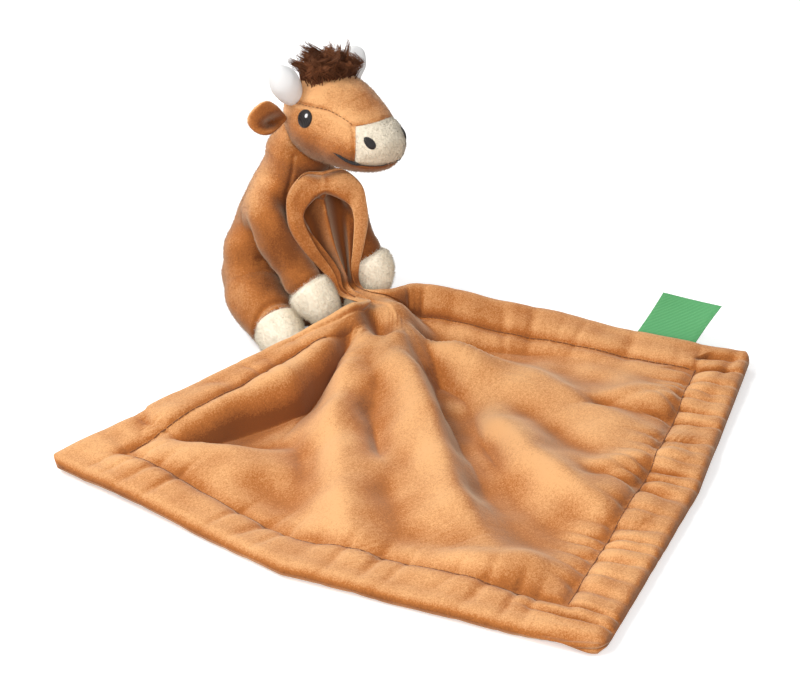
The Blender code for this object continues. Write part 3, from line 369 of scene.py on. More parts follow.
def add_bump(nodes, link, shader, height, strength, distance):
    relief = nodes.new("ShaderNodeBump")
    relief.inputs["Strength"].default_value = strength
    relief.inputs["Distance"].default_value = distance
    link(height, relief.inputs["Height"])
    link(relief.outputs["Normal"], shader.inputs["Normal"])


def add_mix(nodes, link, shader, factor, first, second):
    """The base colour, mixed from two colours by a factor."""
    mix = nodes.new("ShaderNodeMix")
    mix.data_type = "RGBA"
    mix.inputs["A"].default_value = (*first, 1)
    mix.inputs["B"].default_value = (*second, 1)
    link(factor, mix.inputs["Factor"])
    link(mix.outputs["Result"], shader.inputs["Base Color"])


def pile_cloth(name, tones, patches, grain, sheen, tint, bump, shade_and_nap_name=None, glow=0.0):
    """Velour or fleece: tones are deep, middle and pale, patches and grain are waves per metre."""
    material, shader, nodes, link = new_material(name, 0.85, 0.2)
    shader.inputs["Sheen Weight"].default_value = sheen
    shader.inputs["Sheen Roughness"].default_value = 0.5
    shader.inputs["Sheen Tint"].default_value = (*tint, 1)
    # Emission is painted light: a faint glow that lifts the fleece where it lies in shade.
    shader.inputs["Emission Color"].default_value = (*GLOW, 1)
    shader.inputs["Emission Strength"].default_value = glow
    tone = nodes.new("ShaderNodeGroup")
    tone.node_tree = PILE_GROUP
    for label, colour in zip(("Deep", "Middle", "Pale"), tones):
        tone.inputs[label].default_value = (*colour, 1)
    tone.inputs["Patches"].default_value = patches
    tone.inputs["Grain"].default_value = grain
    # The mesh's number holds the nap together with painted light and shade.
    if shade_and_nap_name:
        shade_and_nap = nodes.new("ShaderNodeAttribute")
        shade_and_nap.attribute_name = shade_and_nap_name
        link(shade_and_nap.outputs["Fac"], tone.inputs["Shade and nap"])
    link(tone.outputs["Colour"], shader.inputs["Base Color"])
    add_bump(nodes, link, shader, tone.outputs["Height"], 0.6, bump)
    return material


velour = pile_cloth("caramel velour", (CLAY, CARAMEL, HONEY), 38, 1700, 0.5, SHEEN_GOLD, 0.00014, "shade_and_nap")
sherpa = pile_cloth("cream fleece", MUZZLE_TONES, 260, 1100, 0.2, SHEEN_CREAM, 0.0006, "shade_and_nap")
# The hands' and hooves' fleece glows a little, as painted light.
fleece = pile_cloth("deep cream fleece", (CREAM_ROOT, CREAM_SHADE, CREAM), 380, 900, 0.3, SHEEN_CREAM,
                    0.0006, "shade_and_nap", glow=0.12)
felt = pile_cloth("white felt", (WHITE_FELT, WHITE_FELT, WHITE_FELT), 300, 2200, 0.15, WHITE, 0.0001)


# %% Threads, ribbon, hair and stuffing
def plain_cloth(name, dark, light, stripes, axis, roughness=0.6, source="Object"):
    """Thread or ribbon: fine stripes, so many waves a metre, shade the colour and lift the surface."""
    material, shader, nodes, link = new_material(name, roughness, 0.3)
    shader.inputs["Sheen Weight"].default_value = 0.1
    place = nodes.new("ShaderNodeTexCoord")
    weave = nodes.new("ShaderNodeTexWave")
    weave.wave_type = "BANDS"
    weave.bands_direction = axis
    weave.inputs["Scale"].default_value = stripes
    weave.inputs["Distortion"].default_value = 0.6
    weave.inputs["Detail"].default_value = 1.0
    link(place.outputs[source], weave.inputs["Vector"])
    add_mix(nodes, link, shader, weave.outputs["Fac"], dark, light)
    add_bump(nodes, link, shader, weave.outputs["Fac"], 0.7, 0.0001)
    return material


def hair_material():
    """Each lock keeps a number of its own, which shades it between two browns."""
    material, shader, nodes, link = new_material("dark brown hair", 0.65, 0.15)
    lock = nodes.new("ShaderNodeAttribute")
    lock.attribute_name = "lock"
    add_mix(nodes, link, shader, lock.outputs["Fac"], (0.050, 0.016, 0.006), (0.300, 0.110, 0.045))
    return material


embroidery = plain_cloth("black satin stitch", (0.006, 0.005, 0.005), (0.03, 0.025, 0.025), 700, "X", 0.45)
highlight = plain_cloth("white stitch", (0.75, 0.75, 0.75), (0.85, 0.85, 0.85), 700, "X")
thread = plain_cloth("brown thread", (0.15, 0.050, 0.014), (0.27, 0.100, 0.030), 900, "DIAGONAL")
ribbon = plain_cloth("green ribbon", (0.070, 0.33, 0.115), (0.115, 0.42, 0.165), 420, "Y", 0.5, "UV")
stuffing = pile_cloth("white stuffing", ((0.7, 0.7, 0.7), (0.8, 0.8, 0.8), (0.85, 0.85, 0.85)), 200, 900, 0.1,
                      WHITE, 0.0005)
hair = hair_material()
print("materials:", [m.name for m in (velour, sherpa, fleece, felt, embroidery, thread, ribbon, hair)])

# %% [markdown]
# ## Stuffed forms
#
# A stuffed limb is a tube of cloth blown up from inside. Its surface is a grid: one parameter runs
# along a middle line, the other round it. The same formula as the solid's gives the place of each
# point, so the fine skin lies exactly on the solid. Seams then pull it in and lumps push it out.

# %% The skin of a stuffed form
def stuffed_grid(path, across, thick, side_axis, rings, sides, bluntness):
    """Rings round a path: half sizes are two tables times (1 - |2s - 1|^n)^(1/n) at the share s."""
    share = (1 - np.cos(np.pi * np.arange(1, rings) / rings)) / 2
    rounding = (1 - np.abs(2 * share - 1) ** bluntness) ** (1 / bluntness)
    step = 1e-3
    middle = smooth_run(path, share)
    before, beyond = np.maximum(share - step, 0), np.minimum(share + step, 1)
    ahead = unit(smooth_run(path, beyond) - smooth_run(path, before))
    side_axis = np.asarray(side_axis, float)
    side = unit(side_axis - ahead * (ahead @ side_axis)[:, None])
    up = np.cross(ahead, side)
    angle = 2 * np.pi * np.arange(sides) / sides
    half_across = even_values(across, share) * rounding
    half_thick = even_values(thick, share) * rounding
    grid = middle[:, None] + ring(half_across[:, None] * side, half_thick[:, None] * up, sides)
    return {
        "points": grid,
        "share": np.broadcast_to(share[:, None], grid.shape[:2]),
        "angle": np.broadcast_to(angle[None, :], grid.shape[:2]),
        "first": np.asarray(path[0], float),
        "last": np.asarray(path[-1], float),
    }


def grid_normals(points):
    """Unit normals of a grid that closes round its second axis, pointing away from the middle line."""
    along = np.gradient(points, axis=0)
    around = np.roll(points, -1, axis=1) - np.roll(points, 1, axis=1)
    normal = unit(np.cross(around, along))
    outside = points - points.mean(axis=1, keepdims=True)
    return normal * np.sign((normal * outside).sum(-1).mean())


def lifted(form, height):
    """The form with each point moved along its normal by the height there."""
    moved = dict(form)
    moved["points"] = form["points"] + grid_normals(form["points"]) * height[..., None]
    return moved


def form_mesh(name, form, keep=None):
    """Closed mesh of a form; keep is the span of rings to use, and a cut end is closed by a middle point."""
    grid = form["points"]
    first, last = form["first"], form["last"]
    if keep is not None:
        low, high = keep
        if low > 0:
            first = grid[low].mean(axis=0)
        if high < len(grid):
            last = grid[high - 1].mean(axis=0)
        grid = grid[low:high]
    rings, sides = grid.shape[:2]
    points = np.concatenate([[first], grid.reshape(-1, 3), [last]])
    quads, index, after = (1 + numbers for numbers in tube_faces(rings, sides))
    cap = np.stack([np.zeros(sides, int), after[0], index[0]], axis=-1)
    end = np.stack([np.full(sides, len(points) - 1), index[-1], after[-1]], axis=-1)
    triangles = np.concatenate([cap, end])
    quads, triangles = outward(points, quads, triangles)
    return mesh_of(name, points, quads, triangles)


# The side the painted light comes from: up and to the left, towards the key lamp.
LIGHT_SIDE = np.array([-0.56, 0.32, 0.76])


def facing_light(normals):
    """Painted light: skin that faces the lamps' side looks pale: 0.24 + 0.56 (n . b)."""
    return 0.24 + 0.56 * (normals @ LIGHT_SIDE)


def add_shade_and_nap(mesh, seed, more=0.0):
    """Painted light by the way the skin faces, and slow patches where the pile was brushed otherwise."""
    lumps = soft_noise(mesh_points(mesh), 0.030, seed)
    add_values(mesh, "shade_and_nap", facing_light(mesh_normals(mesh)) + 0.10 * np.tanh(lumps) + more)


def evened(points, edges, weight, rounds):
    """Moves each point towards the mean of its neighbours, by half the gap times its weight."""
    size = len(points)
    start, end = edges.T
    neighbours = np.bincount(edges.ravel(), minlength=size)[:, None]
    for _ in range(rounds):
        total = np.stack([
            np.bincount(start, points[end, k], size) + np.bincount(end, points[start, k], size)
            for k in range(3)
        ], axis=-1)
        points = points + 0.5 * weight[:, None] * (total / neighbours - points)
    return points


def joined_skin(name, meshes, voxel, rounds):
    """One closed skin round several forms: their union in small voxels, then evened out."""
    shape = bmesh.new()
    for mesh in meshes:
        shape.from_mesh(mesh)
    whole = bpy.data.meshes.new(name)
    shape.to_mesh(whole)
    shape.free()
    maker = bpy.data.objects.new(name, whole)
    bpy.context.scene.collection.objects.link(maker)
    remesh = maker.modifiers.new("remesh", "REMESH")
    remesh.mode = "VOXEL"
    remesh.voxel_size = voxel
    even = maker.modifiers.new("even", "SMOOTH")
    even.factor = 0.5
    even.iterations = rounds
    made = bpy.data.meshes.new_from_object(maker.evaluated_get(bpy.context.evaluated_depsgraph_get()))
    bpy.data.objects.remove(maker)
    made.name = name
    made.shade_smooth()
    return made


# %% [markdown]
# ## Pile
#
# Up close the cloth is fur: tens of thousands of fibres a little over a millimetre long. Each is
# one narrow triangle that stands on the skin and leans with the nap. It takes nearly the normal of
# the skin below it, so that it is lit like the skin and only softens the outline.

# %% Fibres on a skin
def fibres(skin, seed, material, per_area, length, width, lean, spread, tilt, depth):
    """Random places on the triangles, in proportion to their area, each with one fibre."""
    name = f"{skin.name}_pile"
    mesh = skin.data
    mesh.calc_loop_triangles()
    corners = np.empty(len(mesh.loop_triangles) * 3, np.int32)
    mesh.loop_triangles.foreach_get("vertices", corners)
    corners = corners.reshape(-1, 3)
    points = mesh_points(mesh)
    normals = mesh_normals(mesh)
    shade_and_nap = np.empty(len(mesh.vertices), np.float32)
    mesh.attributes["shade_and_nap"].data.foreach_get("value", shade_and_nap)
    a, b, c = (points[corners[:, k]] for k in range(3))
    area = np.linalg.norm(np.cross(b - a, c - a), axis=1) / 2
    random = np.random.default_rng(seed)
    count = int(area.sum() * per_area / (1))
    chosen = corners[random.choice(len(area), count, p=area / area.sum())]
    weight = random.dirichlet((1, 1, 1), count)
    root = (points[chosen] * weight[..., None]).sum(1)
    normal = unit((normals[chosen] * weight[..., None]).sum(1))
    lean = np.asarray(lean, float)
    lean = lean - normal * (normal @ lean)[:, None]
    direction = unit(normal + lean + random.normal(scale=spread, size=(count, 3)))
    side = unit(np.cross(normal, direction)) * (width / 2)
    reach = length * random.uniform(0.6, 1.15, (count, 1))
    corners_out = np.stack([root + side, root - side, root + direction * reach], axis=1).reshape(-1, 3)
    faces = np.arange(3 * count).reshape(-1, 3)
    made = mesh_of(name, corners_out, np.zeros((0, 4), int), faces)
    aside = direction - normal * (direction * normal).sum(-1, keepdims=True)
    lit = unit(normal + tilt * aside)
    made.normals_split_custom_set_from_vertices(np.repeat(lit, 3, axis=0).astype(np.float32))
    # Each fibre takes the skin's tone with its painted light and shade, lower by depth at the root and higher
    # by 1.6 depth at the tip.
    tone = (shade_and_nap[chosen] * weight).sum(1)[:, None] + depth * np.array([-1.0, -1.0, 1.6])
    add_values(made, "shade_and_nap", tone)
    piece_from(name, made, body_of(skin)[0], material)
    print(name, count, "fibres")


# %% [markdown]
# ## Seams
#
# A seam pulls the cloth in along a narrow line, and the stuffing crowns it on both sides. All
# forms use the same dip.

# %% The dip of a seam
def seam_dip(distance, depth, width):
    """A seam pulls the cloth in by the depth, fading as exp(-(distance / width)^2)."""
    return -depth * np.exp(-((distance / width) ** 2))


def round_gap(angle, place):
    """Shortest way round the circle from an angle to a place."""
    return np.abs((angle - place + np.pi) % (2 * np.pi) - np.pi)


# %% [markdown]
# ## The head
#
# The head is one blunt egg, cut at a slanted seam: velour behind, cream fleece in front. The two
# skins are the same form, each kept on its own side of the seam, and both dip where it runs.

# %% Directions of the head
NECK = np.array([0.0, -0.010, 0.090])
HEAD_TURN = math.radians(8.0)
HEAD_ROLL = math.radians(5.0)
FACING = np.array([math.sin(HEAD_TURN), -math.cos(HEAD_TURN), 0.0])
level_left = Vector((math.cos(HEAD_TURN), math.sin(HEAD_TURN), 0.0))
HEAD_LEFT = np.array(Matrix.Rotation(HEAD_ROLL, 3, -Vector(FACING)) @ level_left)
HEAD_UP = np.cross(FACING, HEAD_LEFT)
HEAD_MIDDLE = NECK + FACING * 0.0240 + np.array([0.0040, 0.0, 0.0225])
HEAD_BACK = 0.0290
HEAD_FRONT = 0.0360
HEAD_HALF_WIDTH = 0.0235
HEAD_HALF_HEIGHT = 0.0225
HEAD_BLUNTNESS = 2.6
HEAD_DROP = 0.0060
HEAD_DROP_SHARES = (-0.25, -0.25, -0.05, 0.45, 0.85, 0.95)
HEAD_WIDTH_SHARES = (0.90, 1.0, 0.98, 0.86, 0.80, 0.76)
HEAD_HEIGHT_SHARES = (0.94, 1.0, 0.98, 0.86, 0.72, 0.66)
PATCH_FRONT = 0.0243
PATCH_FRONT_BEND = 31.0
PATCH_TOP = 0.0074
PATCH_TOP_BEND = 11.5
PATCH_BOTTOM = -0.0122
CHEEK_LINE = ((-0.030, 0.0060), (-0.0175, 0.0096), (-0.0088, 0.0108), (0.0022, 0.0111), (0.0072, 0.0106),
              (0.0123, 0.0091), (0.0165, 0.0076), (0.0211, 0.0055), (0.0300, 0.0020))


def head_point(forward, left, up):
    forward, left, up = np.broadcast_arrays(forward, left, up)
    return HEAD_MIDDLE + forward[..., None] * FACING + left[..., None] * HEAD_LEFT + up[..., None] * HEAD_UP


def head_places(points):
    """How far points lie ahead, to the left and above the head's middle."""
    away = points - HEAD_MIDDLE
    return away @ FACING, away @ HEAD_LEFT, away @ HEAD_UP


def inside_patch(points):
    """Distance into the cream patch: in front of a bowed line on the cheeks, below one on the nose."""
    forward, left, up = head_places(points)
    side_line = PATCH_FRONT - PATCH_FRONT_BEND * (up + 0.005) ** 2
    top_line = PATCH_TOP - PATCH_TOP_BEND * left**2
    return np.minimum(np.minimum(forward - side_line, top_line - up), up - PATCH_BOTTOM)


def cheek_rise(forward):
    """Height of the seam between cheek and forehead at a place ahead of the head's middle."""
    line = np.asarray(CHEEK_LINE)
    return np.interp(forward, line[:, 0], line[:, 1])


def surface_size(forward):
    """Half width, half height and drop of the head's section at a place ahead of its middle."""
    share = (np.asarray(forward, float) + HEAD_BACK) / (HEAD_BACK + HEAD_FRONT)
    rounding = (1 - np.abs(2 * share - 1) ** HEAD_BLUNTNESS) ** (1 / HEAD_BLUNTNESS)
    wide = even_values(HEAD_WIDTH_SHARES, share) * HEAD_HALF_WIDTH * rounding
    high = even_values(HEAD_HEIGHT_SHARES, share) * HEAD_HALF_HEIGHT * rounding
    return wide, high, even_values(HEAD_DROP_SHARES, share) * HEAD_DROP


def head_form(rings=230, sides=260):
    reach = np.linspace(-HEAD_BACK, HEAD_FRONT, len(HEAD_DROP_SHARES))
    path = [head_point(f, 0.0, -HEAD_DROP * d) for f, d in zip(reach, HEAD_DROP_SHARES)]
    wide = [HEAD_HALF_WIDTH * s for s in HEAD_WIDTH_SHARES]
    high = [HEAD_HALF_HEIGHT * s for s in HEAD_HEIGHT_SHARES]
    form = stuffed_grid(path, wide, high, HEAD_LEFT, rings, sides, HEAD_BLUNTNESS)
    points = form["points"]
    forward, left, up = head_places(points)
    height = 0.14 * MM * soft_noise(points, 0.020, 21) + 0.05 * MM * soft_noise(points, 0.008, 22)
    height += seam_dip(inside_patch(points), 0.7 * MM, 1.2 * MM)
    behind = ease(-inside_patch(points) / MM)
    cheek = seam_dip(up - cheek_rise(forward), 0.75 * MM, 1.1 * MM)
    height += cheek * behind * ease((forward + 0.019) / 0.004)
    height += seam_dip(left, 0.4 * MM, 1.2 * MM) * ease(-up / 0.004) * behind
    height += seam_dip(np.hypot(forward + 0.003, up - 0.0050), 0.6 * MM, 7.0 * MM)
    return lifted(form, height)


def half_of_head(name, form, in_front, nodes, material):
    """The skin on one side of the seam. Its rim is moved onto the seam line and turned inwards."""
    whole = form_mesh(name, form)
    shape = bmesh.new()
    shape.from_mesh(whole)
    centres = np.array([face.calc_center_median() for face in shape.faces])
    inside = inside_patch(centres) > 0
    drop = [face for face, within in zip(shape.faces, inside) if within != in_front]
    bmesh.ops.delete(shape, geom=drop, context="FACES")
    rim = [edge for edge in shape.edges if edge.is_boundary]
    on_rim = list({vert for edge in rim for vert in edge.verts})
    places = np.array([vert.co for vert in on_rim])
    for _ in range(3):
        gap = inside_patch(places)
        slope = np.stack([(inside_patch(places + step) - gap) / 1e-5 for step in np.eye(3) * 1e-5], axis=-1)
        places = places - slope * (gap / np.maximum((slope**2).sum(-1), 1e-9))[:, None]
    for vert, place in zip(on_rim, places):
        vert.co = place
    turned = bmesh.ops.extrude_edge_only(shape, edges=rim)
    middle = Vector(head_point(PATCH_FRONT - 0.004, 0.0, -0.006))
    for vert in (v for v in turned["geom"] if isinstance(v, bmesh.types.BMVert)):
        vert.co += (middle - vert.co).normalized() * (1.5 * MM)
    bmesh.ops.holes_fill(shape, edges=[e for e in shape.edges if e.is_boundary], sides=0)
    bmesh.ops.triangulate(shape, faces=[f for f in shape.faces if len(f.verts) > 4])
    bmesh.ops.recalc_face_normals(shape, faces=shape.faces)
    shape.to_mesh(whole)
    shape.free()
    whole.shade_smooth()
    # Painted light: the top of the head is paler, as well as the side that faces the lamps.
    add_shade_and_nap(whole, 23, more=HEAD_TOP_LIGHT * mesh_normals(whole)[:, 2])
    piece = piece_from(name, whole, "head", material, nodes)
    return piece


# Painted light on the head, times the upward share of the normal.
HEAD_TOP_LIGHT = 0.26
HEAD = head_form()
head_skin = half_of_head("head_velour", HEAD, False, ["head_cover"], velour)
muzzle_skin = half_of_head("muzzle_fleece", HEAD, True, ["muzzle_cover"], sherpa)
print("head:", len(head_skin.data.polygons), "and", len(muzzle_skin.data.polygons), "faces")

# %% [markdown]
# ## The limbs
#
# Arms and legs are bent tubes that start inside the torso. Each is sewn from a velour sleeve and a
# cap of cream fleece, so one grid is worked out and then shared at the seam.

# %% Sizes of torso and arms
SEAT_DEPTH = 0.0005
TORSO_HEIGHT = 0.100
TORSO_HALF_WIDTH = 0.0285
TORSO_HALF_DEPTH = 0.0250
TORSO_LEAN = 0.010
TORSO_BLUNTNESS = 3.0
TORSO_PATH_SHARES = ((0.0, 0.0), (0.22, -0.5), (0.45, -0.45), (0.68, 0.15), (0.90, 1.0), (1.0, 1.05))
TORSO_WIDTH_SHARES = (0.86, 1.0, 1.0, 0.87, 0.69, 0.60)
TORSO_DEPTH_SHARES = (0.90, 1.0, 0.93, 0.79, 0.70, 0.68)
ARM_RADIUS = 0.0098
ARM_PATH_SHARES = {
    -1: ((-0.180, 0.02, 0.730), (-0.235, -0.110, 0.680), (-0.246, -0.205, 0.565), (-0.216, -0.315, 0.430)),
    1: ((0.170, 0.0, 0.730), (0.198, -0.140, 0.680), (0.180, -0.260, 0.565), (0.168, -0.335, 0.450)),
}
HAND_LENGTH = 0.0230
HAND_RADIUS = 0.0115
WRIST_SHARE = 0.52
ARM_RADIUS_SHARES = (1.06, 1.06, 1.0, 0.96, 0.98, 1.18, 1.12)
HAND_AIMS = {-1: (0.35, -0.55, -0.75), 1: (-0.10, -0.30, -1.0)}
GRIP = np.array([0.0007, -0.0465, 0.0300])
GRIP_HALF_WIDTH = 0.0056
PANEL = 0.0016
GAP = 0.0003
PRESSED_SHARE = 0.60
TACK_LENGTH = 0.0009


def hand_place(side):
    reach = GRIP_HALF_WIDTH + PANEL * (1 - PRESSED_SHARE) + GAP + HAND_RADIUS + TACK_LENGTH
    if side < 0:
        return GRIP + (-reach, -GAP, -HAND_RADIUS / 6)
    return GRIP + (reach, HAND_RADIUS / 3, HAND_RADIUS / 4)


# %% Sleeves and caps
def cap_piece(name, form, split, body, seed, nodes):
    """The fleece cap of a limb: the form from the seam on, a little plumper than the sleeve."""
    cap = form_mesh(name, form, (split, len(form["points"])))
    add_shade_and_nap(cap, seed)
    piece = piece_from(name, cap, body, fleece, nodes)
    return piece


def sewn_limb(form, seam, ahead, seed):
    """Lumps of the stuffing, the dip at the seam and the fuller cap; also the ring at the seam."""
    ahead = unit(np.asarray(ahead, float))
    distance = (form["points"] - seam) @ ahead
    height = 0.16 * MM * soft_noise(form["points"], 0.016, seed)
    height += 0.05 * MM * soft_noise(form["points"], 0.007, seed + 1) * ease(-distance / MM)
    height += seam_dip(distance, 1.3 * MM, 1.5 * MM)
    height += ease(distance / (3 * MM)) * 0.7 * MM
    form = lifted(form, height)
    form["points"][..., 2] = np.maximum(form["points"][..., 2], 0.00005)
    return form, int(np.abs(distance.mean(axis=1)).argmin())


def arm_form(side):
    points = [np.array(p) * TORSO_HEIGHT for p in ARM_PATH_SHARES[side]]
    hand = hand_place(side)
    aim = unit(np.array(HAND_AIMS[side], float))
    path = [*points, hand, hand + aim * (HAND_LENGTH / 2)]
    radii = [ARM_RADIUS * s for s in ARM_RADIUS_SHARES]
    form = stuffed_grid(path, radii, radii, (0, 0, 1), 130, 90, 2.6)
    crease = np.zeros(form["share"].shape)
    for level, depth in ((0.34, 0.7), (0.49, 0.9), (0.57, 0.6)):
        inner = np.exp(-((round_gap(form["angle"], np.pi) / 1.0) ** 2))
        crease += seam_dip((form["share"] - level) * 0.075, depth * MM, 1.8 * MM) * inner
    wrist = points[-1] + (hand - points[-1]) * WRIST_SHARE
    return sewn_limb(lifted(form, crease), wrist, hand - points[-1], 40 + 7 * side)


ARMS = {side: arm_form(side) for side in (-1, 1)}
hand_right, hand_left = (
    cap_piece(f"hand_{word}_fleece", *ARMS[side], ROOT, 44 + side, [f"hand_{word}_cover"])
    for side, word in ((-1, "right"), (1, "left"))
)

# %% Legs
HIP = np.array([0.0270, -0.0040, 0.0220])
HIP_RADIUS = 0.0150
LEG_LENGTH = 0.0400
HOOF_RISE = 0.0092
HOOF_REACH = 0.0110
ANKLE_SHARE = 0.68
LEG_ROOT_SHARE = 0.9
LEG_RADIUS_SHARES = (1.08, 1.12, 1.0, 0.84, 0.76, 0.80)
LEG_TURNS = {-1: math.radians(11.0), 1: math.radians(-8.0)}


def leg_form(side):
    turn = LEG_TURNS[side]
    ahead = np.array([side * math.sin(turn), -math.cos(turn), 0.0])
    hip = HIP * (side, 1, 1)
    hoof = hip + ahead * LEG_LENGTH
    hoof[2] = HOOF_RISE - SEAT_DEPTH
    root = hip - ahead * (HIP_RADIUS * LEG_ROOT_SHARE)
    path = [root, hip, (hip + hoof) / 2, hoof, hoof + ahead * HOOF_REACH]
    radii = [HIP_RADIUS * s for s in LEG_RADIUS_SHARES]
    form = stuffed_grid(path, radii, radii, (0, 0, 1), 120, 90, 2.4)
    return sewn_limb(form, hip + ahead * (LEG_LENGTH * ANKLE_SHARE), ahead, 60 + 7 * side)


LEGS = {side: leg_form(side) for side in (-1, 1)}

# %% [markdown]
# ## The calf's torso
#
# Torso, nape and both sleeves are sewn so that no edge shows between them. So the pear of the
# torso, a ball for the neck, the nape behind the head, the haunches and the two sleeves are joined
# into one skin by a voxel remesh, and the seams and creases are pressed into that.

# %% Torso and sleeves
NECK_BALL = 0.0167
NAPE = ((0.0, -0.006, 0.078), (0.0006, -0.0075, 0.088), (0.0014, -0.009, 0.098), (0.003, -0.012, 0.109))
NAPE_RADII = (0.0172, 0.0150, 0.0122, 0.0112)
HAUNCH = (0.0225, 0.003, 0.040)
HAUNCH_RADIUS = 0.0145
HIP_FILL = (0.0225, 0.004, 0.026)
HIP_FILL_RADIUS = 0.0150
# Painted shade on the torso and legs.
TORSO_SHADE = -0.24
BELLY = (0.0, -0.0175, 0.0112)
BELLY_RADIUS = 0.0112
SHOULDER = (0.0195, -0.002, 0.062)
SHOULDER_RADIUS = 0.0105
THIGH_RINGS = 52
CHEST_SEAM = ((-0.0115, -0.0207, 0.0950), (-0.0122, -0.0198, 0.0867), (-0.0122, -0.0172, 0.0790),
              (-0.0133, -0.0159, 0.0700), (-0.0120, -0.0190, 0.0600))
ARMPIT = ((-0.0250, 0.0040, 0.0600), (-0.0263, 0.0002, 0.0520), (-0.0275, -0.0007, 0.0440),
          (-0.0262, -0.0060, 0.0370))
BELLY_FOLD = ((-0.0270, -0.0020, 0.0410), (-0.0240, -0.0160, 0.0400), (-0.0160, -0.0260, 0.0380))


def ball(name, centre, radius, squash=(1, 1, 1)):
    """Sphere as stacked rings: radius sin(t) at the height radius cos(t)."""
    turn = np.pi * np.arange(1, 24)[:, None] / 24
    around = 2 * np.pi * np.arange(32)[None, :] / 32
    level = np.sin(turn)
    grid = np.stack([level * np.cos(around), level * np.sin(around), np.cos(turn) + 0 * around], axis=-1)
    size = radius * np.asarray(squash, float)
    up = np.array([0, 0, 1.0])
    form = {"points": centre + size * grid, "first": centre + size * up, "last": centre - size * up}
    return form_mesh(name, form)


def torso_form():
    path = [(0.0, -TORSO_LEAN * f, TORSO_HEIGHT * h - SEAT_DEPTH) for h, f in TORSO_PATH_SHARES]
    wide = [TORSO_HALF_WIDTH * s for s in TORSO_WIDTH_SHARES]
    deep = [TORSO_HALF_DEPTH * s for s in TORSO_DEPTH_SHARES]
    return stuffed_grid(path, wide, deep, (1, 0, 0), 110, 120, TORSO_BLUNTNESS)


def sleeve_mesh(side):
    """The sleeve up to its seam, and a little narrower beyond, where it hides in the cap."""
    form, split = ARMS[side]
    rings = form["points"][: split + 7].copy()
    middle = rings.mean(axis=1, keepdims=True)
    tuck = ease((np.arange(len(rings)) - split) / 4)[:, None, None]
    shorter = dict(form, points=middle + (rings - middle) * (1 - 0.22 * tuck), last=middle[-1, 0])
    return form_mesh(f"sleeve_{side}", shorter)


def thigh_mesh(side):
    """The first part of the leg, a hair wider, so that the torso's skin runs on over the hip."""
    form, _ = LEGS[side]
    rings = form["points"][:THIGH_RINGS]
    middle = rings.mean(axis=1, keepdims=True)
    tuck = ease((np.arange(THIGH_RINGS) - THIGH_RINGS + 12) / 12)[:, None, None]
    wider = dict(form, points=middle + (rings - middle) * (1.03 - 0.25 * tuck), last=middle[-1, 0])
    return form_mesh(f"thigh_{side}", wider)


nape = stuffed_grid(NAPE, NAPE_RADII, NAPE_RADII, (1, 0, 0), 40, 48, 6.0)
parts = [form_mesh("torso", torso_form()), ball("neck", NECK, NECK_BALL), form_mesh("nape", nape)]
parts += [ball("haunch", np.array(HAUNCH) * (side, 1, 1), HAUNCH_RADIUS) for side in (-1, 1)]
parts += [ball("hip", np.array(HIP_FILL) * (side, 1, 1), HIP_FILL_RADIUS) for side in (-1, 1)]
parts += [ball("belly", np.array(BELLY), BELLY_RADIUS, (1.6, 1, 1))]
parts += [ball("shoulder", np.array(SHOULDER) * (side, 1, 1), SHOULDER_RADIUS) for side in (-1, 1)]
parts += [part for side in (-1, 1) for part in (sleeve_mesh(side), thigh_mesh(side))]
torso_mesh = joined_skin("torso_velour", parts, 0.0009, 6)
edges = np.empty(2 * len(torso_mesh.edges), np.int32)
torso_mesh.edges.foreach_get("vertices", edges)
places = mesh_points(torso_mesh)
shoulder = ease((places[:, 2] - 0.050) / 0.012) * ease((0.094 - places[:, 2]) / 0.008)
shoulder *= ease((places[:, 1] + 0.030) / 0.012)
haunch = ease((0.056 - places[:, 2]) / 0.008) * ease((places[:, 1] + 0.016) / 0.008)
places = evened(places, edges.reshape(-1, 2), np.maximum(shoulder, haunch), 150)
torso_mesh.vertices.foreach_set("co", places.astype(np.float32).ravel())
torso_mesh.update()
relief = 0.18 * MM * soft_noise(places, 0.022, 3) + 0.07 * MM * soft_noise(places, 0.009, 4)
for side in (-1, 1):
    facing = places * (side * -1, 1, 1)
    relief += seam_dip(line_distance(facing, CHEST_SEAM), 1.1 * MM, 1.0 * MM)
    relief += seam_dip(line_distance(facing, ARMPIT), 1.2 * MM, 1.3 * MM)
    relief += seam_dip(line_distance(facing, BELLY_FOLD), 1.0 * MM, 2.0 * MM)
push(torso_mesh, relief)
places = mesh_points(torso_mesh)
places[:, 2] = np.maximum(places[:, 2], 0.0)
torso_mesh.vertices.foreach_set("co", places.astype(np.float32).ravel())
# Painted shade: the torso is darker all over, and most of all lower down.
add_shade_and_nap(torso_mesh, 11, more=TORSO_SHADE * (0.4 + 0.6 * ease((0.086 - places[:, 2]) / 0.030)))
torso_skin = piece_from("torso_velour", torso_mesh, ROOT, velour,
                        ["torso_cover", "arm_right_cover", "arm_left_cover"])
print("torso:", len(torso_mesh.polygons), "faces")

# %% Leg pieces
def leg_skins(side, word):
    form, split = LEGS[side]
    sleeve = form_mesh(f"leg_{word}_velour", form, (0, split + 1))
    # Painted shade: the legs are as dark in tone as the lower torso.
    add_shade_and_nap(sleeve, 63 + side, more=TORSO_SHADE)
    leg = piece_from(sleeve.name, sleeve, f"leg_{word}", velour, [f"leg_{word}_cover"])
    hoof = cap_piece(f"hoof_{word}_fleece", form, split, f"leg_{word}", 64 + side, [f"hoof_{word}_cover"])
    return leg, hoof


leg_right, hoof_right = leg_skins(-1, "right")
leg_left, hoof_left = leg_skins(1, "left")
print("limbs:", [p.name for p in (hand_right, hand_left, leg_right, hoof_right, leg_left, hoof_left)])

# %% [markdown]
# ## The blanket
#
# Two velour squares are sewn face to face, turned and stitched again 25 mm inside the edge. The
# cloth's middle surface is a function of the flat place (x, y): (0, 0) is the held corner, and x
# runs along the back edge. The corner stands up between the hands as a hood, narrows to a waist
# where they grip, and spreads over the table from there.

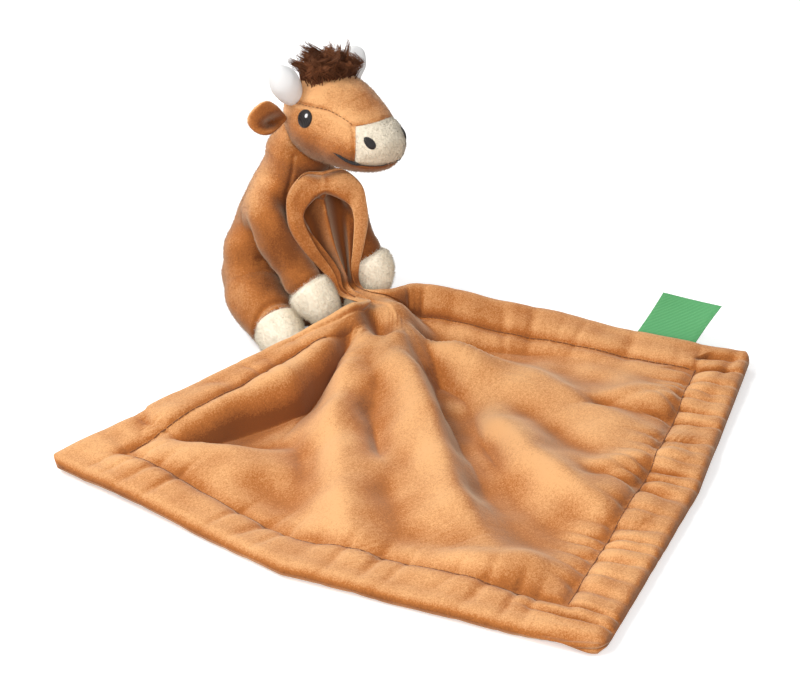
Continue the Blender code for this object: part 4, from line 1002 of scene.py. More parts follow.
# %% Sizes of the cloth and of its gathered corner
SIDE = 0.290
BORDER = 0.025
CORNER_RADIUS = 0.012
HELD = 0.0715
HOOD_HEIGHT = 0.0570
HOOD_HALF_WIDTH = 0.0165
HOOD_DEPTH = 0.0085
HOOD_LIP = 0.0030
HOOD_TURN = math.radians(24.0)
GRIP_DEPTH = 0.0020
GRIP_FRONT_SHARE = 0.5
PRESS_REACH = 0.032
HOOD_RISE = np.array([-0.0035, 0.0135, HOOD_HEIGHT])
HOOD_BOW = np.array([-0.0020, 0.0020, 0.0])
HOOD_RIM_SHARES = ((1.0, 0.0, 0.0), (0.98, 0.50, 0.5), (0.84, 0.92, 1.0), (0.62, 1.0, 1.0), (0.38, 0.74, 0.8),
                   (0.17, 0.42, 0.4))
HOOD_MIDDLE_SHARES = ((1.0, 0.0), (0.90, 0.55), (0.66, 1.0), (0.36, 0.75), (0.15, 0.35))
LEFT_EDGE_SHARES = ((-0.013, -0.060, 0.93), (-0.050, -0.078, 0.76), (-0.098, -0.078, 0.66),
                    (-0.150, -0.062, 0.60), (-0.216, -0.050, 0.62), (-0.345, -0.046, 0.47),
                    (-0.479, -0.042, 0.31), (-0.575, -0.032, 0.20), (-0.628, -0.026, 0.08))
BACK_EDGE_SHARES = ((0.024, -0.032, 0.985), (0.050, -0.046, 0.95), (0.103, -0.041, 0.84),
                    (0.145, -0.069, 0.73), (0.193, -0.119, 0.58), (0.287, -0.221, 0.35),
                    (0.346, -0.307, 0.22), (0.415, -0.428, 0.17), (0.470, -0.498, 0.10))
MIDDLE_RUN_SHARES = ((0.003, -0.033, 0.95), (0.013, -0.070, 0.83), (0.011, -0.116, 0.68),
                     (-0.030, -0.202, 0.40), (-0.089, -0.357, 0.20), (-0.175, -0.564, 0.09),
                     (-0.261, -0.771, 0.08), (-0.322, -0.948, 0.08))
FRONT_BOW_SHARES = ((0.0, 0.0), (-0.036, -0.012), (-0.060, -0.020), (-0.043, -0.014), (0.0, 0.0))
SIDE_BOW_SHARES = ((0.0, 0.0), (0.008, -0.014), (0.010, -0.018), (0.006, -0.010), (0.0, 0.0))
FOLD_SHARES = (
    (((0.010, -0.090, 0.92), (-0.039, -0.165, 0.88), (-0.083, -0.260, 0.80), (-0.128, -0.361, 0.67),
      (-0.184, -0.463, 0.53), (-0.227, -0.538, 0.43), (-0.267, -0.621, 0.30), (-0.286, -0.689, 0.17),
      (-0.289, -0.746, 0.00)), 0.040, 0.085),
    (((-0.030, -0.088, 0.88), (-0.100, -0.143, 0.80), (-0.177, -0.208, 0.70), (-0.248, -0.278, 0.57),
      (-0.319, -0.378, 0.40), (-0.383, -0.481, 0.27), (-0.431, -0.594, 0.00)), 0.070, 0.045),
    (((-0.060, -0.085, 0.88), (-0.115, -0.107, 0.84), (-0.200, -0.136, 0.73), (-0.283, -0.138, 0.63),
      (-0.351, -0.124, 0.57), (-0.416, -0.113, 0.47), (-0.461, -0.109, 0.35), (-0.495, -0.092, 0.00)),
     0.028, 0.090),
    (((-0.484, -0.104, 0.17), (-0.481, -0.161, 0.33), (-0.442, -0.202, 0.33), (-0.394, -0.246, 0.27),
      (-0.329, -0.286, 0.13), (-0.280, -0.312, 0.00)), 0.032, 0.090),
    (((0.025, -0.095, 0.90), (0.010, -0.167, 0.80), (0.040, -0.230, 0.60), (0.080, -0.294, 0.44),
      (0.105, -0.376, 0.32), (0.111, -0.459, 0.26), (0.132, -0.567, 0.20), (0.147, -0.650, 0.00)),
     0.045, 0.080),
    (((-0.018, -0.333, 0.20), (-0.050, -0.462, 0.37), (-0.069, -0.573, 0.37), (-0.073, -0.664, 0.30),
      (-0.070, -0.760, 0.00)), 0.065, 0.036),
    (((0.115, -0.402, 0.13), (0.176, -0.477, 0.27), (0.239, -0.517, 0.27), (0.340, -0.540, 0.06)),
     0.050, 0.026),
    (((-0.027, -0.563, 0.10), (0.014, -0.619, 0.27), (0.088, -0.643, 0.20), (0.140, -0.670, 0.05)),
     0.050, 0.026),
    (((-0.347, -0.617, 0.10), (-0.316, -0.690, 0.25), (-0.262, -0.736, 0.25), (-0.224, -0.790, 0.05)),
     0.040, 0.040),
)
CREASE_SHARES = (
    (((-0.016, -0.080, 0.10), (-0.026, -0.108, 0.46), (-0.036, -0.135, 0.46), (-0.052, -0.160, 0.10)),
     0.024, 0.024),
    (((-0.070, -0.104, 0.05), (-0.112, -0.129, 0.20), (-0.180, -0.152, 0.22), (-0.233, -0.166, 0.20),
      (-0.292, -0.170, 0.18), (-0.346, -0.166, 0.16), (-0.397, -0.168, 0.13), (-0.436, -0.158, 0.00)),
     0.036, 0.013),
    (((-0.005, -0.110, 0.05), (0.030, -0.135, 0.16), (0.085, -0.165, 0.16), (0.150, -0.225, 0.12),
      (0.217, -0.300, 0.10), (0.263, -0.372, 0.00)), 0.020, 0.028),
    (((-0.050, -0.208, 0.10), (-0.058, -0.262, 0.26), (-0.104, -0.364, 0.26), (-0.160, -0.462, 0.20),
      (-0.208, -0.546, 0.14), (-0.254, -0.640, 0.00)), 0.046, 0.016),
    (((0.030, -0.130, 0.05), (0.012, -0.200, 0.24), (-0.020, -0.290, 0.26), (-0.062, -0.380, 0.20),
      (-0.110, -0.470, 0.12), (-0.150, -0.550, 0.00)), 0.034, 0.024),
    (((0.076, -0.442, 0.00), (0.154, -0.477, 0.08), (0.234, -0.511, 0.09), (0.301, -0.553, 0.05)),
     0.010, 0.016),
    (((-0.067, -0.603, 0.00), (0.004, -0.629, 0.07), (0.075, -0.655, 0.04)), 0.012, 0.014),
    (((-0.180, -0.265, 0.00), (-0.226, -0.345, 0.10), (-0.268, -0.407, 0.00)), 0.022, 0.022),
)
EDGE_FALL_LENGTH = 0.036
EDGE_FALL_START_SHARE = 0.35
EDGE_FALL_END_SHARE = 0.3
FLATTEN_SHARE = 0.45
SETTLE_SHARE = 0.20
CONE_REACH = 0.030
TABLE = PANEL + GAP / 2 + 0.00005


# %% The cloth's middle surface
def from_grip(shares):
    return np.asarray(shares, float) * (SIDE, SIDE, GRIP[2]) + (GRIP[0], GRIP[1], 0.0)


def hood_line(height):
    height = np.asarray(height, float)[..., None]
    return GRIP + height * HOOD_RISE + 4 * height * (1 - height) * HOOD_BOW


def blanket_runs():
    """Back edge, middle and left edge of the cloth, each from the hood's top to the far border."""
    lateral = np.array([math.cos(HOOD_TURN), -math.sin(HOOD_TURN), 0.0])
    forward = np.array([-math.sin(HOOD_TURN), -math.cos(HOOD_TURN), 0.0])
    rim = np.asarray(HOOD_RIM_SHARES, float)
    front = hood_line(rim[:, 0]) + forward * (HOOD_LIP * rim[:, 2])[:, None]
    wide = lateral * (HOOD_HALF_WIDTH * rim[:, 1])[:, None]
    middle = np.asarray(HOOD_MIDDLE_SHARES, float)
    back = hood_line(middle[:, 0]) - forward * (HOOD_DEPTH * middle[:, 1])[:, None]
    waist_front = GRIP + (0.0, -GRIP_DEPTH * GRIP_FRONT_SHARE, 0.0)
    waist_back = GRIP + (0.0, GRIP_DEPTH * (1 - GRIP_FRONT_SHARE), 0.0)
    waist_side = np.array([GRIP_HALF_WIDTH, 0.0, 0.0])
    hood = (
        np.concatenate([front + wide, [waist_front + waist_side]]),
        np.concatenate([back, [waist_back]]),
        np.concatenate([front - wide, [waist_front - waist_side]]),
    )
    spread = (from_grip(BACK_EDGE_SHARES), from_grip(MIDDLE_RUN_SHARES), from_grip(LEFT_EDGE_SHARES))
    return [(np.concatenate([h, s]), len(h) - 1) for h, s in zip(hood, spread)]


def run_places(run, along_hood, along_spread, in_hood):
    points, waist = run
    fine = smooth_knots(points)
    length = np.concatenate([[0], np.cumsum(np.linalg.norm(np.diff(fine, axis=0), axis=1))])
    held = length[waist * KNOT_STEPS]
    place = np.where(in_hood, along_hood * held, held + along_spread * (length[-1] - held))
    return np.stack([np.interp(place, length, fine[:, k]) for k in range(3)], axis=-1)


def fold_height(place, crest_shares, left_share, right_share):
    """Height of one fold: its crest's height times exp(-(distance / width)^1.7), with two widths."""
    crest = smooth_run(from_grip(crest_shares), np.linspace(0, 1, 65))
    run = np.gradient(crest[:, :2], axis=0)
    away = place[..., None, :2] - crest[:, :2]
    distance = np.linalg.norm(away, axis=-1)
    nearest = distance.argmin(-1)
    gap = np.take_along_axis(distance, nearest[..., None], -1)[..., 0]
    beside = np.take_along_axis(away, nearest[..., None, None], -2)[..., 0, :]
    ahead = run[nearest]
    on_left = ahead[..., 0] * beside[..., 1] - ahead[..., 1] * beside[..., 0]
    width = SIDE * (right_share + (left_share - right_share) * ease(0.5 + on_left / 4e-5))
    return np.maximum(crest[nearest, 2], 0) * np.exp(-((gap / width) ** 1.7))


def across_place(x, y):
    """-1 on the back edge, 0 on the diagonal from the held corner and 1 on the left edge."""
    half_side = np.maximum(x, y)
    share = np.where(half_side > 0, np.minimum(x, y) / np.maximum(half_side, 1e-9), 0)
    return np.where(x >= y, share - 1, 1 - share)


def cloth_middle(x, y):
    """Place in space of the flat point (x, y), halfway through the cloth."""
    half_side = np.maximum(x, y)
    across = across_place(x, y)
    along_hood = np.clip(half_side / HELD, 0, 1)
    along_spread = np.clip((half_side - HELD) / (SIDE - HELD), 0, 1)
    in_hood = half_side <= HELD
    back_edge, middle, left_edge = (run_places(r, along_hood, along_spread, in_hood) for r in blanket_runs())
    flatness = ease(along_spread / FLATTEN_SHARE)
    centre = (back_edge + left_edge) / 2
    half = (back_edge - left_edge) / 2
    width = np.linalg.norm(half, axis=-1)
    depth = np.maximum(np.linalg.norm(centre - middle, axis=-1), 1e-9)
    ratio = np.clip(width / depth, 0.05, 1)
    arc = (np.pi / 2 * ratio) / (1 - ratio + np.pi / 2 * ratio)
    bend = np.abs(across)
    turn = np.pi / 2 * np.clip(bend / arc, 0, 1)
    beyond = np.clip((bend - arc) / np.maximum(1 - arc, 1e-9), 0, 1)
    inward = (1 - flatness) * (ratio * (1 - np.cos(turn)) + (1 - ratio) * beyond) + flatness * bend
    aside = (1 - flatness) * np.sign(across) * np.sin(turn) + flatness * across
    place = middle + inward[..., None] * (centre - middle) - aside[..., None] * half
    front = smooth_run(np.asarray(FRONT_BOW_SHARES) * SIDE, np.clip(across, 0, 1))
    beside = smooth_run(np.asarray(SIDE_BOW_SHARES) * SIDE, np.clip(-across, 0, 1))
    place[..., :2] += (along_spread**2)[..., None] * (front + beside)
    slope = EDGE_FALL_LENGTH * (
        EDGE_FALL_START_SHARE + (1 - EDGE_FALL_START_SHARE) * ease(along_spread / EDGE_FALL_END_SHARE)
    )
    lifts = [
        np.maximum(left_edge[..., 2] - TABLE, 0) * np.exp(-((x / slope) ** 2)),
        np.maximum(back_edge[..., 2] - TABLE, 0) * np.exp(-((y / slope) ** 2)),
    ]
    lifts += [fold_height(place, *fold) for fold in FOLD_SHARES]
    lifts.append((GRIP[2] - TABLE) * np.exp(-np.maximum(half_side - HELD, 0) / CONE_REACH))
    draped = np.sum(np.asarray(lifts) ** 3, axis=0) ** (1 / 3)
    creases = sum(fold_height(place, *crease) for crease in CREASE_SHARES)
    draped = TABLE + np.maximum(draped - creases, 0.12 * draped)
    settle = np.where(in_hood, 0, ease(along_spread / SETTLE_SHARE))
    place[..., 2] = (1 - settle) * place[..., 2] + settle * draped
    return place


def cloth_normals(place, passes):
    """Unit directions on the upper side, evened out over the neighbours in a few passes."""
    across = place[1:, 1:] - place[:-1, :-1]
    along = place[:-1, 1:] - place[1:, :-1]
    cell = unit(np.cross(along, across))
    total = np.zeros_like(place)
    for i, j in ((0, 0), (0, 1), (1, 0), (1, 1)):
        total[i : i + cell.shape[0], j : j + cell.shape[1]] += cell
    for _ in range(passes):
        padded = np.pad(unit(total), ((1, 1), (1, 1), (0, 0)), mode="edge")
        total = padded[:-2, 1:-1] + padded[2:, 1:-1] + padded[1:-1, :-2] + padded[1:-1, 2:] + unit(total)
    return unit(total)


# %% [markdown]
# The border is two layers of pile with the seam allowance rolled up inside, so it is plump. Its
# outer edge is round, the topstitch pulls a groove, and the cloth puckers at the stitches. All of
# this is a thickness over the middle surface, written as a function of the flat place.

# %% Thickness of the border
ROLL_HEIGHT = 0.0044
CROWN_SHARE = 0.34
SEAM_LIFT = 0.0016
HEM_RADIUS = 0.0046
HOOD_TOP_RADIUS = 0.0064
CENTRE_HEIGHT = 0.0018
GROOVE_HEIGHT = 0.0009
HEM_REACH = 0.075


def rounded_flat(x, y):
    """Moves the flat square's points so that its four corners are quarter circles."""
    half = SIDE / 2
    a = np.maximum(np.abs(x - half) - (half - CORNER_RADIUS), 0) / CORNER_RADIUS
    b = np.maximum(np.abs(y - half) - (half - CORNER_RADIUS), 0) / CORNER_RADIUS
    shrink_a = CORNER_RADIUS * a * (1 - np.sqrt(1 - b**2 / 2))
    shrink_b = CORNER_RADIUS * b * (1 - np.sqrt(1 - a**2 / 2))
    return x - np.sign(x - half) * shrink_a, y - np.sign(y - half) * shrink_b


def puckers(along, inset, pitch, depth, seed):
    """Valleys across the border at an uneven pitch, deepest at the stitches."""
    turn = 2 * np.pi * along
    drift = 0.25 * np.sin(turn / 0.071 + seed) + 0.12 * np.sin(turn / 0.031 + 2 * seed)
    phase = along / pitch + drift + inset * 10 * np.sin(turn / 0.09 + 3 * seed)
    phase = phase + 0.12 * np.sin(2 * np.pi * phase)
    valley = (0.5 + 0.5 * np.cos(2 * np.pi * phase)) ** 1.5
    strength = 0.65 + 0.35 * np.sin(turn / 0.061 + 5 * seed)
    return -depth * strength * valley * np.exp(-(((inset - 0.020) / 0.015) ** 2))


def hem_share(x, y):
    """1 in the hood and beside the grip, where the edge is rolled up, and 0 on the flat border."""
    away = np.maximum(x, y) - HELD
    on_left = ease((y - x) / 0.02)
    reach = 0.012 + (HEM_REACH - 0.012) * on_left
    return ease(1.3 - np.maximum(away, 0) / reach)


def border_height(x, y):
    """Height of the pile's outer face over the middle surface."""
    half_side = np.maximum(x, y)
    inset = np.minimum(np.minimum(x, y), SIDE - half_side)
    rounder = (np.maximum(x, 1e-6) ** -3.0 + np.maximum(y, 1e-6) ** -3.0) ** (-1 / 3)
    inset = np.where(half_side < HELD, rounder, inset)
    away = half_side - HELD
    held = np.exp(-((away / PRESS_REACH) ** 2))
    share = np.clip(inset / BORDER, 0, 1)
    outer = np.sqrt(np.maximum(1 - (1 - np.minimum(share / CROWN_SHARE, 1)) ** 2, 0))
    inner = (1 - np.clip((share - CROWN_SHARE) / (1 - CROWN_SHARE), 0, 1) ** 3) ** 0.7
    crown = np.where(share < CROWN_SHARE, outer, inner)
    beyond = np.maximum(inset - BORDER, 0)
    inner = CENTRE_HEIGHT + 0.7 * MM * np.exp(-(((beyond - 0.008) / 0.006) ** 2))
    inner = GROOVE_HEIGHT + (inner - GROOVE_HEIGHT) * ease(beyond / 0.005)
    flat = np.where(inset < BORDER, GROOVE_HEIGHT * ease(inset / BORDER) + ROLL_HEIGHT * crown, inner)
    flat += puckers(y, SIDE - x, 0.0125, 0.0050, 1.0) * (x > SIDE / 2) * (SIDE - x < y + 0.01)
    flat += puckers(x, y, 0.019, 0.0014, 2.0) * (y < SIDE / 2)
    flat += puckers(x, SIDE - y, 0.016, 0.0016, 3.0) * (y > SIDE / 2)
    flat += puckers(y, x, 0.020, 0.0014, 4.0) * (x < SIDE / 2)
    flat = np.maximum(flat, 0.0004 * ease(inset / 0.001))
    radius = HEM_RADIUS + (HOOD_TOP_RADIUS - HEM_RADIUS) * ease((0.40 * HELD - half_side) / 0.012)
    roll = np.sqrt(np.maximum(radius**2 - (inset - radius) ** 2, 0))
    hem = (roll**4 + (1.1 * MM * ease(inset / 0.002)) ** 4) ** 0.25
    share = hem_share(x, y)
    height = flat + (hem - flat) * share
    return height * (1 - PRESSED_SHARE * held * (0.4 + 0.6 * share))


# %% [markdown]
# The pleats inside the hood and the fine ripples of the spread cloth move both layers together, so
# they are added to the middle surface before the thickness.

# %% Panels
TICK_RUNS = ((0, 6), (0.0022, 24), (0.022, 8), (0.028, 38), (HELD, 30), (0.1055, 102), (0.262, 8),
             (0.268, 22), (0.2875, 6), (SIDE, 1))
TICKS = np.concatenate([
    np.linspace(low, high, steps, endpoint=False)
    for (low, steps), (high, _) in zip(TICK_RUNS, (*TICK_RUNS[1:], (SIDE, 1)))
])
HOOD_PLEATS = ((0.03, 0.0075, 0.12), (0.54, 0.0048, 0.12), (0.29, -0.0038, 0.09), (-0.26, -0.0050, 0.12),
               (-0.55, 0.0010, 0.14))


def cloth_grid(ticks, passes):
    """Middle surface with its ripples, the normals and the painted shade inside the hood, on a grid of flat
    places.
    """
    x, y = np.meshgrid(ticks, ticks, indexing="ij")
    flat_x, flat_y = rounded_flat(x, y)
    place = cloth_middle(flat_x, flat_y)
    normal = cloth_normals(place, passes)
    half_side = np.maximum(flat_x, flat_y)
    spread = ease((half_side - HELD - 0.02) / 0.05)
    inset = np.minimum(np.minimum(flat_x, flat_y), SIDE - half_side)
    flat = np.stack([flat_x, flat_y, 0 * flat_x], axis=-1)
    ripple = 0.0007 * soft_noise(flat, 0.052, 71) + 0.0003 * soft_noise(flat, 0.024, 72)
    ripple = (ripple + 0.0012) * spread * (0.35 + 0.65 * ease(inset / 0.05))
    across = across_place(flat_x, flat_y)
    rise = half_side / HELD
    in_hood = ease((inset - 0.011) / 0.006) * ease((1.10 - rise) / 0.25)
    pleat = sum(size * np.exp(-(((across - at) / wide) ** 2)) for at, size, wide in HOOD_PLEATS)
    under = -0.0035 * np.exp(-(((inset - 0.0165) / 0.0045) ** 2)) * ease((0.95 - rise) / 0.3)
    place = place + normal * (ripple + pleat * in_hood + under)[..., None]
    place[..., 2] += SEAM_LIFT * np.exp(-((inset / 0.007) ** 2)) * spread
    # Painted shade inside the hood, weakest on the pleats' crests.
    hood_shade = (0.35 + 0.65 * ease((0.0035 - pleat) / 0.007)) * ease((inset - 0.011) / 0.003)
    return flat_x, flat_y, place, normal, hood_shade * ease((1.02 - rise) / 0.12)


def slab_mesh(name, outer, inner, flat_x, flat_y):
    """Closed slab between two grids, with the flat places as its UV map."""
    rows, columns = outer.shape[:2]
    points = np.concatenate([outer.reshape(-1, 3), inner.reshape(-1, 3)])
    index = np.arange(rows * columns).reshape(rows, columns)
    face = np.stack([index[:-1, :-1], index[1:, :-1], index[1:, 1:], index[:-1, 1:]], axis=-1).reshape(-1, 4)
    other = face[:, ::-1] + rows * columns
    rim = np.concatenate([index[:, 0], index[-1, 1:], index[-2::-1, -1], index[0, -2:0:-1]])
    after = np.roll(rim, -1)
    wall = np.stack([after, rim, rim + rows * columns, after + rows * columns], axis=-1)
    quads, _ = outward(points, np.concatenate([face, other, wall]), np.zeros((0, 3), int))
    mesh = mesh_of(name, points, quads)
    corner_places = np.empty(len(mesh.loops), np.int32)
    mesh.loops.foreach_get("vertex_index", corner_places)
    flat = np.tile(np.stack([flat_x.ravel(), flat_y.ravel()], axis=-1), (2, 1))
    layer = mesh.uv_layers.new(name="flat")
    layer.data.foreach_set("uv", flat[corner_places].astype(np.float32).ravel())
    return mesh


def blanket_shade_and_nap(outer, flat_x, flat_y):
    """Painted light and shade: pale on crests and where the skin faces the lamps, deep in valleys, with slow
    patches where the pile was brushed.
    """
    flat = np.stack([flat_x, flat_y, 0 * flat_x], axis=-1)
    height = outer[..., 2]
    rows, columns = height.shape
    near = np.pad(height, 8, mode="edge")
    total = sum(near[i : i + rows, j : j + columns] for i in (0, 8, 16) for j in (0, 8, 16))
    crest = np.clip((height - total / 9) / 0.0022, -1, 1)
    brushed = np.tanh(soft_noise(flat, 0.060, 81) + 0.6 * soft_noise(flat, 0.026, 82))
    inset = np.minimum(np.minimum(flat_x, flat_y), SIDE - np.maximum(flat_x, flat_y))
    hem = hem_share(flat_x, flat_y)
    # Darker within about 2 mm of the flat border's edge, paler within about 10 mm of the rolled hem's edge.
    edge = 0.22 * np.exp(-((inset / 0.0022) ** 2)) * (1 - hem)
    edge -= 0.26 * hem * ease(1 - (inset - 0.010) / 0.003)
    # Painted shade in the valleys, about twice as strong as the painted light on the crests.
    crest = np.where(crest < 0, 0.26, 0.12) * crest
    return facing_light(cloth_normals(outer, 0)) + crest + 0.05 * brushed - edge


flat_x, flat_y, cloth, cloth_normal, hood_shade = cloth_grid(TICKS, 14)
height = border_height(flat_x, flat_y)
hood_top = ease((0.42 * HELD - np.maximum(flat_x, flat_y)) / 0.012)
rim = np.minimum(flat_x, flat_y)
seam_back = 0.55 * HOOD_TOP_RADIUS * hood_top * (1 - ease(rim / HOOD_TOP_RADIUS))
cloth = cloth - cloth_normal * seam_back[..., None]
back_share = 1 - 0.65 * hood_top
upper = cloth + cloth_normal * height[..., None]
upper_inner = cloth + cloth_normal * (0.15 * np.minimum(height, MM))[..., None]
top_mesh = slab_mesh("blanket_top_velour", upper, upper_inner, flat_x, flat_y)
# Painted shade darkens the inside of the hood.
shade_and_nap = blanket_shade_and_nap(upper, flat_x, flat_y) - 0.60 * hood_shade
add_values(top_mesh, "shade_and_nap", np.concatenate([shade_and_nap.ravel(), shade_and_nap.ravel()]))
top_panel = piece_from("blanket_top_velour", top_mesh, ROOT, velour, ["blanket_top"])

lower = cloth - cloth_normal * (height * back_share)[..., None]
lower[..., 2] = np.maximum(lower[..., 2], 0.00005)
lower_inner = cloth - cloth_normal * (0.15 * np.minimum(height, MM))[..., None]
lower_inner[..., 2] = np.maximum(lower_inner[..., 2], lower[..., 2] + 0.00005)
back_mesh = slab_mesh("blanket_back_velour", lower, lower_inner, flat_x, flat_y)
add_values(back_mesh, "shade_and_nap", np.concatenate([shade_and_nap.ravel(), shade_and_nap.ravel()]))
back_panel = piece_from("blanket_back_velour", back_mesh, ROOT, velour, ["blanket_back"])
print("blanket:", len(top_mesh.polygons), "faces a panel")


# %% [markdown]
# ## Topstitch
#
# The stitches are short rods of thread that lie in the groove. Their ends come from the same
# function as the cloth, read off its grid, so they follow every fold.

# %% Thread on the border
STITCH_LENGTH = 0.0027
STITCH_PITCH = 0.0036
THREAD_RADIUS = 0.00028


def read_grid(values, x, y):
    """Reads a grid of values between its ticks, in proportion on both axes."""
    column = np.clip(np.searchsorted(TICKS, x) - 1, 0, len(TICKS) - 2)
    row = np.clip(np.searchsorted(TICKS, y) - 1, 0, len(TICKS) - 2)
    a = ((x - TICKS[column]) / (TICKS[column + 1] - TICKS[column]))[:, None]
    b = ((y - TICKS[row]) / (TICKS[row + 1] - TICKS[row]))[:, None]
    near = values[column, row] * (1 - a) + values[column + 1, row] * a
    far = values[column, row + 1] * (1 - a) + values[column + 1, row + 1] * a
    return near * (1 - b) + far * b


def stitches(name, start, end, material, body, radius=THREAD_RADIUS, sides=6):
    """Rods with rounded ends: rings of radius r sin(t) at the two ends, joined along the stitch."""
    ahead = unit(end - start)
    side = unit(np.cross(ahead, (0.3, 0.2, 1.0)))
    up = np.cross(ahead, side)
    ends = ((start, -0.8, 0.55), (start, 0.0, 1.0), (end, 0.0, 1.0), (end, 0.8, 0.55))
    grid = np.stack([
        (at + ahead * (share * radius))[:, None] + radius * size * ring(side, up, sides)
        for at, share, size in ends
    ], axis=1)
    count = len(start)
    points = np.concatenate([
        grid.reshape(count, -1, 3),
        (start - ahead * radius)[:, None],
        (end + ahead * radius)[:, None],
    ], axis=1)
    quads, index, after = tube_faces(4, sides)
    low = np.stack([np.full(sides, 4 * sides), after[0], index[0]], axis=-1)
    high = np.stack([np.full(sides, 4 * sides + 1), index[-1], after[-1]], axis=-1)
    triangles = np.concatenate([low, high])
    quads, triangles = outward(points[0], quads, triangles)
    step = points.shape[1] * np.arange(count)[:, None, None]
    mesh = mesh_of(name, points.reshape(-1, 3), (quads[None] + step).reshape(-1, 4),
                   (triangles[None] + step).reshape(-1, 3))
    return piece_from(name, mesh, body, material)


def border_stitches():
    """Starts and ends along a square 25 mm inside the edge, lifted by a thread's radius."""
    low, high = BORDER, SIDE - BORDER
    starts = np.arange(low, high - STITCH_LENGTH, STITCH_PITCH)
    first, last = [], []
    for fixed, swap in ((low, False), (high, False), (low, True), (high, True)):
        level = np.full(len(starts), fixed)
        for ends, places in ((first, starts), (last, starts + STITCH_LENGTH)):
            pair = (places, level) if not swap else (level, places)
            seen = hem_share(starts, level) < 0.5 if not swap else hem_share(level, starts) < 0.5
            at = read_grid(upper, *pair) + read_grid(cloth_normal, *pair) * (THREAD_RADIUS * 0.9)
            ends.append(at[seen])
    return np.concatenate(first), np.concatenate(last)


topstitch = stitches("border_topstitch", *border_stitches(), thread, ROOT)
print("topstitch:", len(topstitch.data.polygons), "faces")

# %% [markdown]
# ## Ears, horns and hair
#
# The ears are flat pouches that curl into a cup, the horns are small felt cones, and the hair is a
# strip of long pile that stands up between them.

# %% Ears and horns
EAR_LENGTH = 0.0215
EAR_HALF_WIDTH = 0.0073
EAR_HALF_THICKNESS = 0.0038
EAR_FORWARD = -0.0150
EAR_RISE = 0.0024
EAR_FACE_TURN = math.radians(112.0)
EAR_LIFTS = {-1: math.radians(5.0), 1: math.radians(-24.0)}
EAR_SWEEP_SHARE = 0.40
EAR_ROOT_RADIUS = 0.0018
EAR_SHARES = (0.38, 0.80, 1.08, 1.08, 0.84)
EAR_CUP = 0.0075
HORN_LENGTH = 0.0165
HORN_RADIUS = 0.0062
HORN_FORWARD = -0.0150
HORN_SIDE = 0.0180
HORN_SHIFT = 0.0014
HORN_RISE = 0.0134
HORN_SPLAY = math.radians(38.0)
HORN_BEND_SHARE = 0.12
HORN_PATH_SHARES = (-0.35, 0.0, 0.35, 0.7, 1.0)
HORN_SHARES = (0.90, 1.04, 1.16, 1.16, 1.00)
EAR_LINE = FACING * math.cos(EAR_FACE_TURN) + HEAD_UP * math.sin(EAR_FACE_TURN)
EAR_TURN = math.radians(20.0)
EAR_CLEAR = 0.0001
HEAD_TREE = BVHTree.FromPolygons([v.co for v in head_skin.data.vertices],
                                 [tuple(p.vertices) for p in head_skin.data.polygons])


def ear_root(side):
    wide, high, drop = surface_size(EAR_FORWARD)
    reach = wide * math.sqrt(max(0.0, 1 - ((EAR_RISE + drop) / high) ** 2))
    return head_point(EAR_FORWARD, side * (reach + EAR_ROOT_RADIUS + GAP), EAR_RISE)


def room_to_turn(points, side):
    """Points that would lie under the skin of the head once the ear is turned back come out by that depth."""
    turn = np.array(Matrix.Rotation(EAR_TURN * side, 3, Vector(EAR_LINE)))
    pivot = ear_root(side)
    flat = (points - pivot).reshape(-1, 3) @ turn.T + pivot
    out = np.zeros_like(flat)
    for number, place in enumerate(flat):
        nearest, normal, _, _ = HEAD_TREE.find_nearest(Vector(place))
        depth = (nearest - Vector(place)).dot(normal) + EAR_CLEAR
        out[number] = np.array(normal) * max(0.0, depth)
    return points + (out @ turn).reshape(points.shape)


def ear_skin(side, word):
    """A puffy leaf: half width and thickness along its length, less a bell-shaped cup on its front."""
    lift = EAR_LIFTS[side]
    out = unit(HEAD_LEFT * side * math.cos(lift) + HEAD_UP * math.sin(lift) - FACING * EAR_SWEEP_SHARE)
    start = ear_root(side) - out * EAR_ROOT_RADIUS
    path = [start + out * (EAR_LENGTH * s) for s in np.linspace(0, 1, 5)]
    wide = [EAR_HALF_WIDTH * s for s in EAR_SHARES]
    thick = [EAR_HALF_THICKNESS * s for s in (0.9, 1.0, 1.05, 1.0, 0.85)]
    form = stuffed_grid(path, wide, thick, EAR_LINE, 110, 120, 2.3)
    points = form["points"]
    face = np.cross(out, unit(EAR_LINE - out * (EAR_LINE @ out)))
    face = face * np.sign(face @ FACING)
    away = points - start
    along = away @ out / EAR_LENGTH
    beside = (away @ EAR_LINE) / EAR_HALF_WIDTH
    front = ease(0.5 + (away @ face) / EAR_HALF_THICKNESS)
    cup = np.exp(-((beside / 0.42) ** 2)) * np.exp(-(((along - 0.34) / 0.30) ** 2))
    shift = -EAR_CUP * cup * (0.45 + 0.55 * front) + 0.0034 * beside**2 * np.clip(along, 0, 1)
    form["points"] = room_to_turn(points + shift[..., None] * face, side)
    mesh = form_mesh(f"ear_{word}_velour", form)
    # Painted shade: darker in the cup's hollow, and paler outside the cup.
    shade = np.concatenate([[0.2], (0.8 * cup * front - 0.25 * (1 - cup)).ravel(), [0.0]])
    add_values(mesh, "shade_and_nap", facing_light(mesh_normals(mesh)) - shade)
    piece = piece_from(mesh.name, mesh, f"ear_{word}", velour, [f"ear_{word}"])
    return piece


